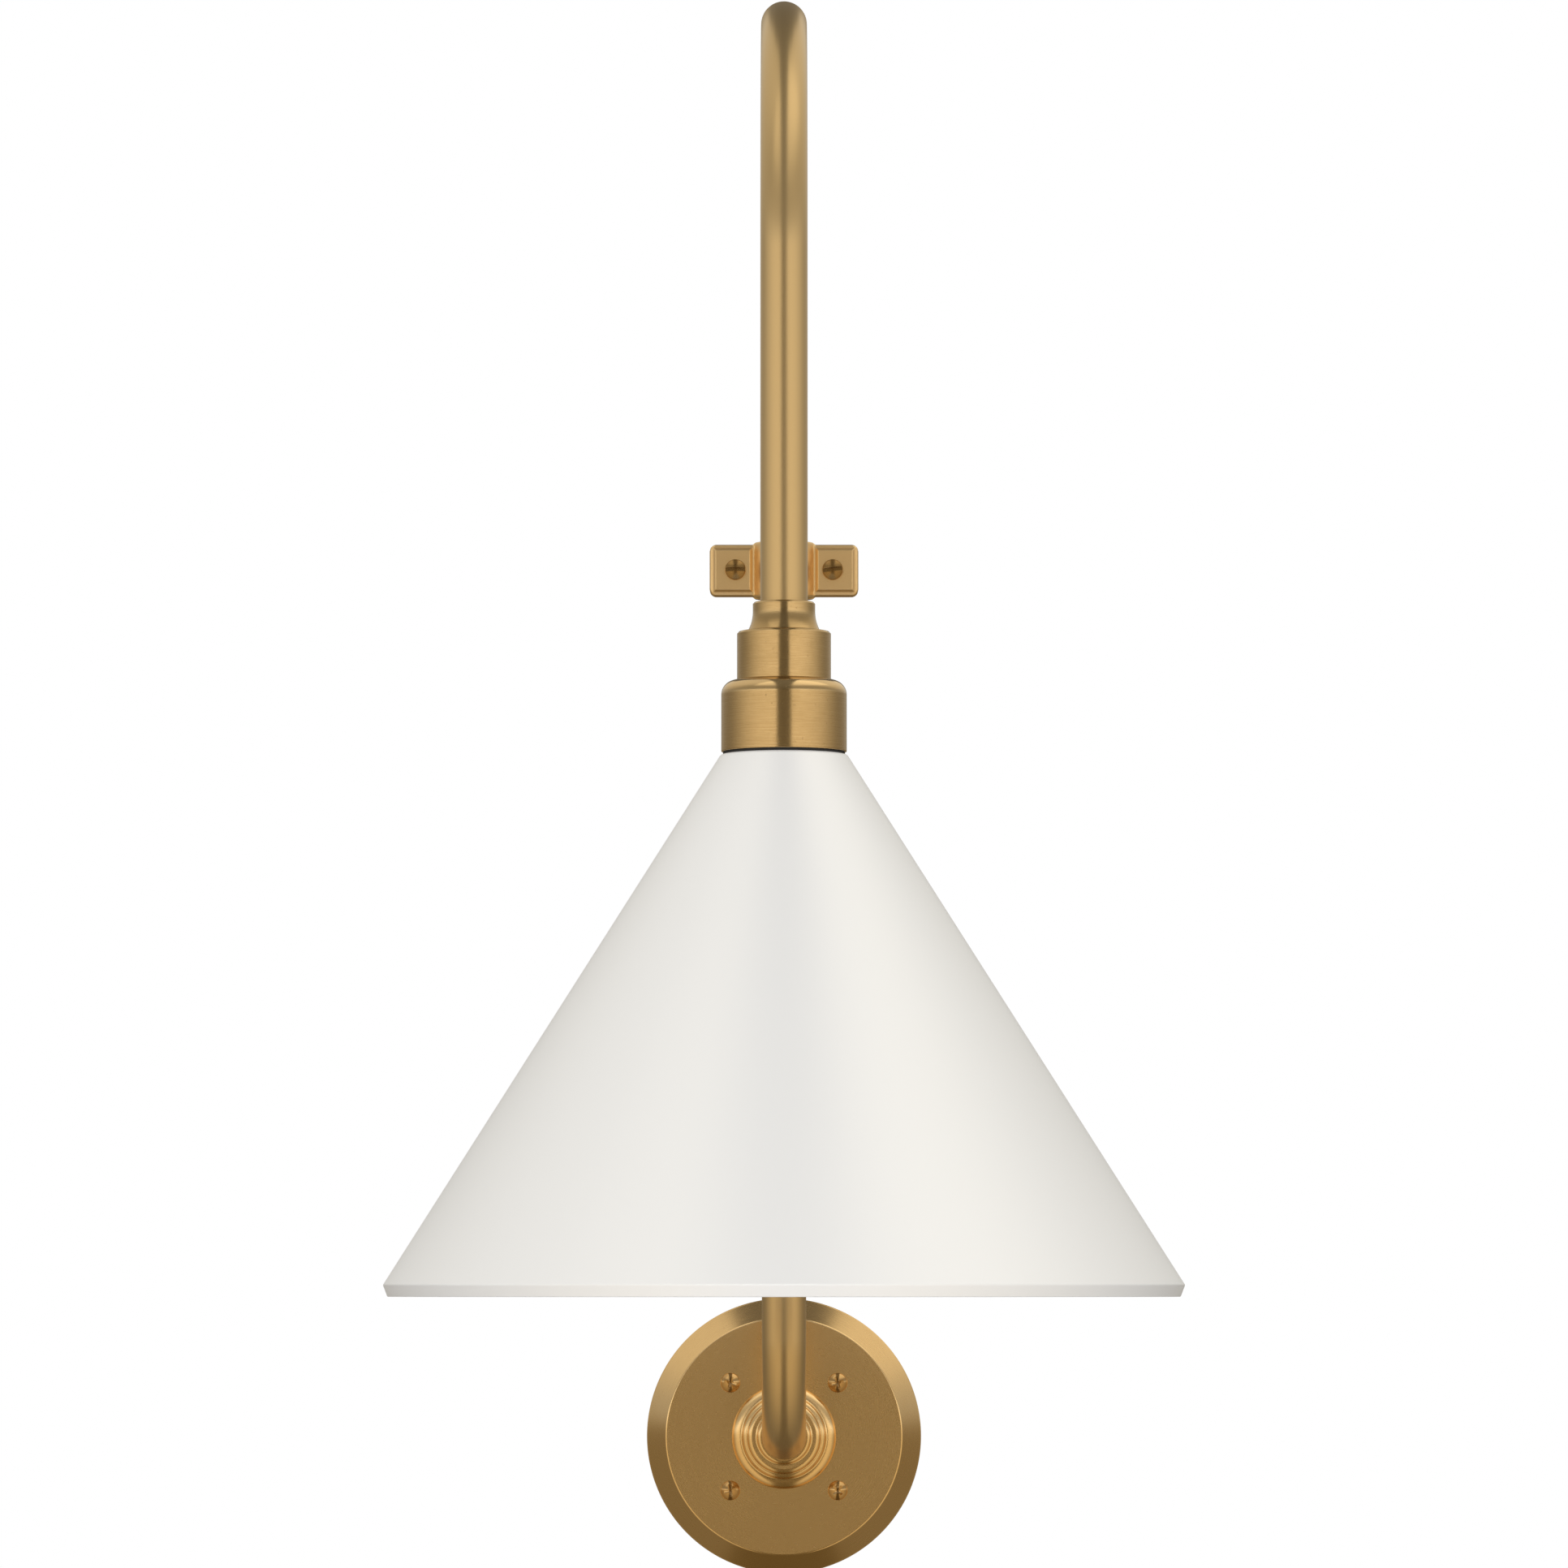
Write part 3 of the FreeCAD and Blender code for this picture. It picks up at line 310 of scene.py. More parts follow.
@dataclass(frozen=True)
class GlossEnamel(Finish):
    """Stoved enamel: clear gloss with a faint orange peel and a little settled dust."""

    base: tuple = linear(233, 235, 238)
    soiled: tuple = linear(224, 222, 217)
    roughness: float = 0.02
    peel_depth: float = 0.000003
    refraction: float = 1.7
    cloud_scale: float = 7.0
    dust_scale: float = 1500.0
    peel_scale: float = 420.0
    swell_scale: float = 60.0
    swell_share: float = 1.6

    def wire(self, graph: Graph) -> dict:
        """Slow clouds and sparse dust tint the white; a fine noise makes the orange peel.

        Args:
            graph: The material's node tree.

        Returns:
            Socket names with their values or links.
        """
        place = graph.place()
        clouds = graph.ramp(graph.noise(place, self.cloud_scale, 3.0), 0.40, 0.80)
        dust = graph.ramp(graph.noise(place, self.dust_scale, 1.0), 0.74, 0.80)
        peel = graph.noise(place, self.peel_scale, 1.5)
        swell = graph.noise(place, self.swell_scale, 1.0)
        edge = graph.attribute("edge", "Fac")
        tint = (clouds * 0.22 + dust * 0.30 + edge * 0.12).clipped()
        rough = clouds * 0.025 + dust * 0.20 + (peel - 0.5) * 0.03 + self.roughness
        height = peel + swell * self.swell_share
        return {"Base Color": graph.blend(tint, self.base, self.soiled), "Roughness": rough,
                "IOR": self.refraction, "Normal": graph.bump(height, self.peel_depth)}


@dataclass(frozen=True)
class Moulding(Finish):
    """Moulded plastic, rubber or a cable jacket: one colour with a fine skin."""

    base: tuple = linear(228, 226, 219)
    shadow: tuple = linear(206, 203, 194)
    roughness: float = 0.38
    skin_scale: float = 700.0
    skin_depth: float = 0.00002
    cloud_scale: float = 45.0
    speck_scale: float = 1900.0

    def wire(self, graph: Graph) -> dict:
        """A cloud shades the colour and a fine noise makes the moulded skin.

        Args:
            graph: The material's node tree.

        Returns:
            Socket names with their values or links.
        """
        place = graph.place()
        clouds = graph.ramp(graph.noise(place, self.cloud_scale, 3.0), 0.35, 0.75)
        skin = graph.noise(place, self.skin_scale, 3.0, 0.6)
        specks = graph.ramp(graph.noise(place, self.speck_scale, 1.0), 0.72, 0.80)
        tint = (clouds * 0.5 + specks * 0.3 + (skin - 0.5) * 0.3).clipped()
        rough = self.roughness + (skin - 0.5) * 0.18 + clouds * 0.06
        return {"Base Color": graph.blend(tint, self.base, self.shadow), "Roughness": rough,
                "Normal": graph.bump(skin, self.skin_depth)}


@dataclass(frozen=True)
class GlazedCeramic(Finish):
    """White glaze over porcelain, with pinholes and a soft ripple."""

    glaze: tuple = linear(238, 235, 226)
    body: tuple = linear(214, 208, 194)
    ripple_scale: float = 90.0
    pinhole_scale: float = 1300.0
    ripple_depth: float = 0.00003
    coat: float = 0.4
    coat_roughness: float = 0.05

    def wire(self, graph: Graph) -> dict:
        """The glaze thins at the edges; pinholes and a slow ripple break up its gloss.

        Args:
            graph: The material's node tree.

        Returns:
            Socket names with their values or links.
        """
        place = graph.place()
        ripple = graph.noise(place, self.ripple_scale, 2.0)
        pinholes = graph.ramp(graph.noise(place, self.pinhole_scale, 0.0), 0.78, 0.84)
        edge = graph.attribute("edge", "Fac")
        tint = (edge * 0.5 + pinholes * 0.6 + (ripple - 0.5) * 0.3).clipped()
        rough = pinholes * 0.4 + ripple * 0.05 + 0.07
        return {"Base Color": graph.blend(tint, self.glaze, self.body), "Roughness": rough,
                "Coat Weight": self.coat, "Coat Roughness": self.coat_roughness,
                "Normal": graph.bump(ripple - pinholes * 0.5, self.ripple_depth)}


# Named like slots of the frame, so the frame's plain materials show in their place: BRASS,
# CONTACT_BRASS, ENAMEL, GLAZE, RUBBER_AND_SHADOW_LINE, WHITE_MOULDING, PTFE and JACKET.
BRASS = SatinMetal("satin_brass", light=linear(248, 210, 154), deep=linear(230, 184, 122),
                   roughness=0.26)
BRASS_TURNED = SatinMetal("turned_brass", light=linear(194, 166, 122), deep=linear(171, 141, 94),
                          roughness=0.17, line_depth=0.000018)
BRASS_SPUN = SatinMetal("spun_brass", light=linear(238, 203, 148), deep=linear(216, 178, 118),
                        roughness=0.24, patina=0.35, line_depth=0.0000005)
BRASS_CAST = SatinMetal("cast_brass", light=linear(246, 216, 168), deep=linear(232, 198, 148),
                        roughness=0.38, patina=0.25, line_depth=0.0000004,
                        grain=Grain.PLAIN)
# Darker than the spun face around them: this base colour paints the shade and occlusion on the
# cover's screw heads.
SHADED_SCREW_BRASS = SatinMetal("screw_brass", light=linear(206, 170, 118), deep=linear(156, 118, 70),
                          roughness=0.15, patina=0.8)
# Far darker than the clamp's brass: this base colour paints the shade on the clamp's screw heads.
SHADED_CLAMP_SCREW_BRASS = SatinMetal("clamp_screw_brass", light=linear(166, 134, 88),
                         rubbed=linear(230, 198, 146), deep=linear(120, 90, 50), roughness=0.26)
ZINC = SatinMetal("zinc_plated_steel", light=linear(205, 207, 208), deep=linear(160, 162, 158),
                  rubbed=linear(226, 228, 230), roughness=0.32, patina=0.9, grain=Grain.PLAIN)
BRONZE = SatinMetal("bearing_bronze", light=linear(190, 142, 92), deep=linear(140, 98, 60),
                    rubbed=linear(220, 178, 128), roughness=0.34, grain=Grain.PLAIN)
NICKEL = SatinMetal("nickel_washed_brass", light=linear(212, 206, 190), deep=linear(176, 166, 142),
                    rubbed=linear(230, 226, 214), roughness=0.24)
EARTH_GREEN = Moulding("green_lacquered_steel", base=linear(44, 120, 66), shadow=linear(26, 84, 46),
                       roughness=0.30)
CONTACT_BRASS = SatinMetal("contact_brass", grain=Grain.PLAIN)
ENAMEL = GlossEnamel("white_enamel")
GLAZE = GlazedCeramic("glazed_porcelain")
# Black rubber; on the washer under the gallery its black also paints the shadow line between the
# gallery and the shade.
RUBBER_AND_SHADOW_LINE = Moulding("black_rubber", base=linear(24, 24, 24), shadow=linear(38, 37, 36),
                  roughness=0.62, skin_depth=0.00004)
WHITE_MOULDING = Moulding("white_moulding")
PTFE = Moulding("white_ptfe", base=linear(232, 232, 230), shadow=linear(220, 220, 216),
                roughness=0.42)
JACKET = Moulding("lead_jacket", base=linear(206, 203, 196), shadow=linear(186, 182, 174),
                  roughness=0.48)

CAD_FINISHES = {
    "satin_brass": BRASS, "brass_screws": SHADED_SCREW_BRASS, "white_enamel": ENAMEL,
    "black_rubber": RUBBER_AND_SHADOW_LINE, "zinc_steel": ZINC, "earth_green": EARTH_GREEN, "bronze": BRONZE,
    "white_ptfe": PTFE, "white_moulding": WHITE_MOULDING, "glazed_porcelain": GLAZE,
    "nickel_brass": NICKEL, "contact_brass": CONTACT_BRASS,
    "lead_jacket": JACKET,
}


# ------------------------------------------------------------------------------ surfaces


@dataclass(frozen=True)
class Axis:
    """A line that pieces are turned about: a point on it, its direction and a side direction."""

    origin: tuple[float, float, float]
    along: tuple[float, float, float] = (0.0, 0.0, 1.0)
    side: tuple[float, float, float] = (1.0, 0.0, 0.0)

    def turn(self, radius: np.ndarray, height: np.ndarray, angle: np.ndarray) -> np.ndarray:
        """Place points by cylinder coordinates.

        Formula: origin + height * along + radius * (cos(angle) * side + sin(angle) * across),
        where across is along x side.

        Args:
            radius: Distances from the axis.
            height: Distances along it.
            angle: Angles from the side direction.

        Returns:
            The points, with one more dimension than the inputs.
        """
        across = np.cross(self.along, self.side)
        out = (np.multiply.outer(np.cos(angle), self.side)
               + np.multiply.outer(np.sin(angle), across))
        return (np.array(self.origin) + height[..., None] * np.array(self.along)
                + radius[..., None] * out)


@dataclass(frozen=True)
class Corner:
    """A corner of an outline: radius from the axis, height along it, and a fillet."""

    r: float
    z: float
    fillet: float = 0.0


@dataclass
class Outline:
    """Points of a profile, with 1 in edge where the profile turns a corner."""

    points: np.ndarray
    edge: np.ndarray

    def along(self) -> np.ndarray:
        """Return each point's distance along the profile."""
        steps = np.linalg.norm(np.diff(self.points, axis=0), axis=1)
        return np.concatenate([[0.0], np.cumsum(steps)])


def outline(corners: list[Corner], steps: int = 7) -> Outline:
    """Round the corners of a closed profile.

    Formula: a fillet of radius f at a corner whose sides make an angle a touches them at
    f / tan(a / 2) from the corner, and its centre is f / sin(a / 2) away on the bisector.
    One more point on each side keeps the flat stretches flat when they are shaded.

    Args:
        corners: The corners in order.
        steps: Points on each fillet.

    Returns:
        The rounded outline.
    """
    points, edge = [], []
    count = len(corners)
    for index, corner in enumerate(corners):
        here = np.array((corner.r, corner.z))
        before = np.array((corners[index - 1].r, corners[index - 1].z)) - here
        after = np.array((corners[(index + 1) % count].r, corners[(index + 1) % count].z)) - here
        size = (np.linalg.norm(before), np.linalg.norm(after))
        before, after = before / size[0], after / size[1]
        half = 0.5 * math.acos(float(np.clip(before @ after, -1, 1)))
        if corner.fillet <= 0 or half > 0.499 * math.pi:
            points.append(here[None])
            edge.append(np.zeros(1))
            continue
        reach = min(corner.fillet / math.tan(half), 0.92 * size[0], 0.92 * size[1])
        radius = reach * math.tan(half)
        bisector = (before + after) / np.linalg.norm(before + after)
        centre = here + bisector * radius / math.sin(half)
        first = here + before * reach - centre
        last = here + after * reach - centre
        start = math.atan2(first[1], first[0])
        sweep = math.atan2(first[0] * last[1] - first[1] * last[0], first @ last)
        angle = start + sweep * np.linspace(0, 1, steps)
        arc = centre + radius * np.stack([np.cos(angle), np.sin(angle)], axis=1)
        near = 0.06 * reach
        points.append(np.concatenate(
            [[here + before * (reach + near)], arc, [here + after * (reach + near)]]))
        edge.append(np.concatenate([[0.0], np.sin(np.linspace(0, math.pi, steps)), [0.0]]))
    return Outline(np.concatenate(points), np.concatenate(edge))


@dataclass
class Patch:
    """A grid of points with the attributes that finishes read."""

    points: np.ndarray
    grain: np.ndarray
    edge: np.ndarray
    wrap: tuple[bool, bool] = (True, True)

    def quads(self) -> np.ndarray:
        """Return the corner numbers of the grid's quads.

        Returns:
            One row of four corner numbers per quad.
        """
        rows, columns = self.points.shape[:2]
        i = np.arange(rows if self.wrap[0] else rows - 1)
        j = np.arange(columns if self.wrap[1] else columns - 1)
        i, j = np.meshgrid(i, j, indexing="ij")
        k, n = (i + 1) % rows, (j + 1) % columns
        corners = (i * columns + j, k * columns + j, k * columns + n, i * columns + n)
        return np.stack(corners, axis=-1).reshape(-1, 4)


def turned_patch(axis: Axis, shape: Outline, segments: int = 160) -> Patch:
    """Turn an outline about an axis; its working lines run round the axis.

    Args:
        axis: The axis to turn about.
        shape: The closed outline.
        segments: Sides of the ring.

    Returns:
        The closed patch.
    """
    angle = np.linspace(0, 2 * math.pi, segments, endpoint=False)
    radius, angles = np.meshgrid(shape.points[:, 0], angle, indexing="ij")
    height = np.broadcast_to(shape.points[:, 1][:, None], radius.shape)
    along = np.broadcast_to(shape.along()[:, None], radius.shape)
    grain = np.stack([along * LINE_SCALE, np.cos(angles) * RING_SWING,
                      np.sin(angles) * RING_SWING], axis=-1)
    edge = np.broadcast_to(shape.edge[:, None], radius.shape)
    return Patch(axis.turn(radius, height, angles), grain, edge)


def tube_patch(path: np.ndarray, radius: float, bore: float, segments: int = 72) -> Patch:
    """Carry a ring along a path in the plane X = constant, as a tube with an inner wall.

    Formula: path(s) + r * (cos(angle) * X + sin(angle) * (tangent x X)), out along the outer
    radius and back along the bore.  Working lines run along the tube.

    Args:
        path: Points of the centre line.
        radius: The outer radius.
        bore: The inner radius.
        segments: Sides of the ring.

    Returns:
        The closed patch.
    """
    tangent = np.gradient(path, axis=0)
    tangent /= np.linalg.norm(tangent, axis=1)[:, None]
    side = np.array((1.0, 0.0, 0.0))
    across = np.cross(tangent, side)
    order = np.concatenate([np.arange(len(path)), np.arange(len(path))[::-1]])
    radii = np.concatenate([np.full(len(path), radius), np.full(len(path), bore)])
    angle = np.linspace(0, 2 * math.pi, segments, endpoint=False)
    ring = (np.cos(angle)[None, :, None] * side
            + np.sin(angle)[None, :, None] * across[order][:, None, :])
    points = path[order][:, None, :] + radii[:, None, None] * ring
    steps = np.linalg.norm(np.diff(path, axis=0), axis=1)
    along = np.concatenate([[0.0], np.cumsum(steps)])[order]
    run_scale = 30.0
    grain = np.stack(np.broadcast_arrays(
        radii[:, None] * np.cos(angle) * LINE_SCALE, radii[:, None] * np.sin(angle) * LINE_SCALE,
        along[:, None] * run_scale), axis=-1)
    return Patch(points, grain, np.zeros(points.shape[:2]))


def make_mesh(name: str, patches: list[Patch]) -> bpy.types.Object:
    """Put patches into one closed, smooth, outward-facing mesh object at the origin.

    Args:
        name: The object's name.
        patches: Closed patches.

    Returns:
        The object, linked to the scene.
    """
    points = np.concatenate([patch.points.reshape(-1, 3) for patch in patches])
    grain = np.concatenate([patch.grain.reshape(-1, 3) for patch in patches])
    edge = np.concatenate([np.asarray(patch.edge).reshape(-1) for patch in patches])
    starts = np.cumsum([0] + [patch.points.shape[0] * patch.points.shape[1] for patch in patches])
    quads = np.concatenate([patch.quads() + start for patch, start in zip(patches, starts)])
    mesh = bpy.data.meshes.new(name)
    mesh.vertices.add(len(points))
    mesh.vertices.foreach_set("co", points.astype(np.float32).ravel())
    mesh.loops.add(quads.size)
    mesh.loops.foreach_set("vertex_index", quads.astype(np.int32).ravel())
    mesh.polygons.add(len(quads))
    mesh.polygons.foreach_set("loop_start", np.arange(0, quads.size, 4, dtype=np.int32))
    mesh.update(calc_edges=True)
    for label, kind, data in (("grain", "FLOAT_VECTOR", grain), ("edge", "FLOAT", edge)):
        layer = mesh.attributes.new(label, kind, "POINT")
        layer.data.foreach_set("vector" if kind == "FLOAT_VECTOR" else "value",
                               data.astype(np.float32).ravel())
    tidy_mesh(mesh)
    made = bpy.data.objects.new(name, mesh)
    bpy.context.scene.collection.objects.link(made)
    return made


def tidy_mesh(mesh: bpy.types.Mesh) -> None:
    """Merge poles and seams, turn the faces outwards and shade them smooth between edges.

    Args:
        mesh: The mesh to change.
    """
    work = bmesh.new()
    work.from_mesh(mesh)
    bmesh.ops.remove_doubles(work, verts=work.verts, dist=MERGE_WITHIN)
    bmesh.ops.recalc_face_normals(work, faces=work.faces)
    work.to_mesh(mesh)
    work.free()
    mesh.polygons.foreach_set("use_smooth", np.ones(len(mesh.polygons), dtype=bool))
    mesh.set_sharp_from_angle(angle=SHARP_FROM)
    mesh.update()


def add_piece(made: bpy.types.Object, body: str, finish: Finish,
              stands_for: tuple[str, ...]) -> bpy.types.Object:
    """Dress a piece, let it ride on its body and hide the frame's nodes that it stands for.

    Args:
        made: The piece.
        body: The body that it rides on.
        finish: Its finish.
        stands_for: The frame's nodes that it replaces.

    Returns:
        The piece.
    """
    made.data.materials.clear()
    made.data.materials.append(finish.material())
    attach(made, body)
    if stands_for:
        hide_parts(*stands_for)
    LOG.info("%s rides on %s: %d faces", made.name, body, len(made.data.polygons))
    return made


def span(node: str) -> tuple[np.ndarray, np.ndarray]:
    """Return a frame node's lowest and highest corner."""
    low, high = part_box(node)
    return np.array(low), np.array(high)


def half_width(node: str) -> float:
    """Return half of a node's extent along X, which is a turned piece's radius."""
    low, high = span(node)
    return float(high[0] - low[0]) / 2


def hanging_axis() -> Axis:
    """Return the upright axis through the shade, which the whole lampholder shares."""
    low, high = span("shade")
    return Axis((0.0, float(low[1] + high[1]) / 2, 0.0))


# ------------------------------------------------------------------------------ wall pieces


@dataclass
class Backplate:
    """Round cover on the wall with a bevel, a flat face and four cross-head screws."""

    face_radius: float = 51.8 * MM
    rim: float = 3.0 * MM
    wall: float = 1.5 * MM
    stud_hole: float = 6.2 * MM
    screw_pitch: float = 47.0 * MM
    head_radius: float = 4.3 * MM
    head_tall: float = 2.7 * MM
    first_turn: float = 0.3
    next_turn: float = 0.5
    axis: Axis = Axis((0.0, 0.0, 0.0), (0.0, -1.0, 0.0), (1.0, 0.0, 0.0))

    def build(self) -> None:
        """Make the cover and its screws."""
        radius = half_width("backplate")
        depth = float(-span("backplate")[0][1])
        shape = outline([
            Corner(self.stud_hole, depth), Corner(self.face_radius, depth, 0.8 * MM),
            Corner(radius - 0.5 * MM, self.rim + 0.7 * MM, 0.9 * MM),
            Corner(radius, self.rim, 0.35 * MM), Corner(radius, 0.0, 0.3 * MM),
            Corner(radius - self.wall, 0.0, 0.3 * MM), Corner(radius - self.wall, self.rim),
            Corner(self.face_radius - 0.7 * MM, depth - self.wall),
            Corner(self.stud_hole, depth - self.wall)])
        cover = make_mesh("backplate_cover", [turned_patch(self.axis, shape, 224)])
        add_piece(cover, "base", BRASS_SPUN, ("backplate",))
        half = self.screw_pitch / 2
        patches = []
        places = ((half, half), (half, -half), (-half, half), (-half, -half))
        for index, (x, z) in enumerate(places):
            turn = self.first_turn + self.next_turn * index
            seat = Axis((x, -depth, z), (0.0, -1.0, 0.0), (math.cos(turn), 0.0, math.sin(turn)))
            screw = DomedScrew(self.head_radius, self.head_tall, Drive.CROSS, depth - 0.5 * MM)
            patches += screw.patches(seat)
        heads = make_mesh("cover_screws", patches)
        add_piece(heads, "base", SHADED_SCREW_BRASS, ("backplate_screws",))


class Drive(Enum):
    """The recess in a screw's head."""

    SLOT = 1
    CROSS = 2


@dataclass
class DomedScrew:
    """A domed screw whose recess edges are lines of its own grid."""

    head_radius: float
    head_tall: float
    drive: Drive
    shank_long: float
    shank_radius: float = 2.0 * MM
    half_slot: float = 0.55 * MM
    lip: float = 0.45 * MM
    dome_share: float = 0.93
    recess_long: float = 0.62
    recess_deep: float = 0.62
    slot_floor: float = 0.42

    def patches(self, seat: Axis) -> list[Patch]:
        """Return the screw as one closed patch on a seat whose axis points out of the head.

        Formula: on a disc, height = dome(r) - depth(r) inside the arms of the recess.  The
        columns of the grid crowd to both sides of asin(half slot / r), the arms' edges.

        Args:
            seat: Where the head sits.

        Returns:
            A list of one patch.
        """
        arms = 2 * self.drive.value
        ring = self._radii()
        inside, columns = self._columns(ring, arms)
        radius = np.broadcast_to(ring[:, None], columns.shape)
        height = self._dome(radius) - np.where(inside, self._depth(radius), 0.0)
        rows = [
            (self.head_radius, 0.0), (self.shank_radius, 0.0),
            (self.shank_radius, -self.shank_long), (0.0, -self.shank_long)]
        spread = np.linspace(0, 2 * math.pi, columns.shape[1], endpoint=False)
        radius = np.concatenate([radius, [np.full(len(spread), r) for r, _ in rows]])
        height = np.concatenate([height, [np.full(len(spread), z) for _, z in rows]])
        angles = np.concatenate([columns, np.repeat(columns[-1:], len(rows), axis=0)])
        points = seat.turn(radius, height, angles)
        grain = np.stack([radius * LINE_SCALE, np.cos(angles) * RING_SWING,
                          np.sin(angles) * RING_SWING], axis=-1)
        edge = np.zeros(radius.shape)
        edge[len(ring) - 4:len(ring)] = 0.7
        return [Patch(points, grain, edge, (False, True))]

    def _radii(self) -> np.ndarray:
        """Return the rings of the head, closest where the recess and the rim are.

        Returns:
            The radii from the middle out.
        """
        inner = self.dome_share * self.head_radius
        middle = np.linspace(0, inner, 26)
        turn = np.linspace(0, math.pi / 2, 7)[1:]
        rim = inner + (1 - self.dome_share) * self.head_radius * np.sin(turn)
        return np.concatenate([middle, rim])

    def _dome(self, radius: np.ndarray) -> np.ndarray:
        """Return the dome's height: a sphere's cap that rolls over into a short upright edge.

        Args:
            radius: Distances from the screw's axis.

        Returns:
            Heights above the seat.
        """
        cap = self.head_tall - self.lip
        share = radius / self.head_radius
        past = np.clip((share - self.dome_share) / (1 - self.dome_share), 0, 1)
        round_over = np.sqrt(np.clip(1 - past ** 2, 0, 1))
        return self.lip * round_over + cap * (1 - share ** 2) * (0.4 + 0.6 * round_over)

    def _depth(self, radius: np.ndarray) -> np.ndarray:
        """Return the recess's depth at a radius.

        Args:
            radius: Distances from the screw's axis.

        Returns:
            Depths below the dome.
        """
        if self.drive is Drive.SLOT:
            return np.clip(self._dome(radius) - self.slot_floor * self.head_tall, 0, None)
        long = self.recess_long * self.head_radius
        return self.recess_deep * self.head_tall * np.clip(1 - (radius / long) ** 2, 0, 1)

    def _columns(self, ring: np.ndarray, arms: int) -> tuple[np.ndarray, np.ndarray]:
        """Return which grid points lie in an arm, and every point's angle.

        Args:
            ring: The rings' radii.
            arms: Arms of the recess.

        Returns:
            Two grids: in an arm or not, and the angle.
        """
        limit = math.pi / arms
        edge = np.arcsin(np.clip(self.half_slot / np.maximum(ring, 1e-9), 0, 1))
        edge = np.minimum(edge, 0.96 * limit)
        slope = 0.07 * MM / np.maximum(ring, 0.3 * MM)
        across = np.linspace(-1, 1, 7)
        between = np.linspace(0, 1, 12)
        columns, inside = [], []
        for arm in range(arms):
            centre = 2 * limit * arm
            columns.append(centre + edge[:, None] * across[None, :])
            inside.append(np.ones((len(ring), len(across)), dtype=bool))
            low = np.minimum(edge + slope, limit)
            stretch = low[:, None] + (2 * limit - 2 * low)[:, None] * between[None, :]
            columns.append(centre + stretch)
            inside.append(np.zeros((len(ring), len(between)), dtype=bool))
        return np.concatenate(inside, axis=1), np.concatenate(columns, axis=1)


@dataclass
class WallBoss:
    """Stepped boss that the arm's tube stands in."""

    two_radius: float = 18.2 * MM
    three_radius: float = 15.95 * MM
    neck_radius: float = 11.625 * MM
    steps: tuple[float, float, float] = (4.4 * MM, 7.8 * MM, 10.4 * MM)
    stud_radius: float = 6.0 * MM
    stud_bore: float = 3.6 * MM
    web: float = 4.0 * MM
    axis: Axis = Axis((0.0, 0.0, 0.0), (0.0, -1.0, 0.0), (1.0, 0.0, 0.0))

    def build(self) -> None:
        """Make the boss, its stud included."""
        low, high = span("arm_flange")
        top, stud = float(-low[1]), float(-high[1])
        radius = half_width("arm_flange")
        face = float(-span("backplate")[0][1])
        one, two, three = (face + step for step in self.steps)
        tube = half_width("gooseneck_tube")
        shape = outline([
            Corner(self.stud_bore, stud), Corner(self.stud_radius, stud, 0.5 * MM),
            Corner(self.stud_radius, face), Corner(radius, face, 0.3 * MM),
            Corner(radius, one, 3.8 * MM), Corner(self.two_radius, one, 0.9 * MM),
            Corner(self.two_radius, two, 2.1 * MM), Corner(self.three_radius, two, 0.7 * MM),
            Corner(self.three_radius, three, 2.0 * MM), Corner(self.neck_radius, three, 0.9 * MM),
            Corner(self.neck_radius, top, 1.4 * MM), Corner(tube + FIT_GAP, top, 0.2 * MM),
            Corner(tube + FIT_GAP, face + self.web), Corner(self.stud_bore, face + self.web)])
        boss = make_mesh("wall_boss", [turned_patch(self.axis, shape, 160)])
        add_piece(boss, "base", BRASS_SPUN, ("arm_flange",))


# ------------------------------------------------------------------------------ tubes


def straight(start: np.ndarray, finish: np.ndarray, count: int) -> np.ndarray:
    """Return evenly spaced points of a straight run, without its last one."""
    return start + (finish - start) * np.linspace(0, 1, count, endpoint=False)[:, None]


def bend(centre: np.ndarray, radius: float, start: float, finish: float, count: int) -> np.ndarray:
    """Return points of an arc in the YZ plane: centre + radius * (0, cos(angle), sin(angle))."""
    angle = np.linspace(start, finish, count)
    return centre + radius * np.stack([np.zeros(count), np.cos(angle), np.sin(angle)], axis=1)


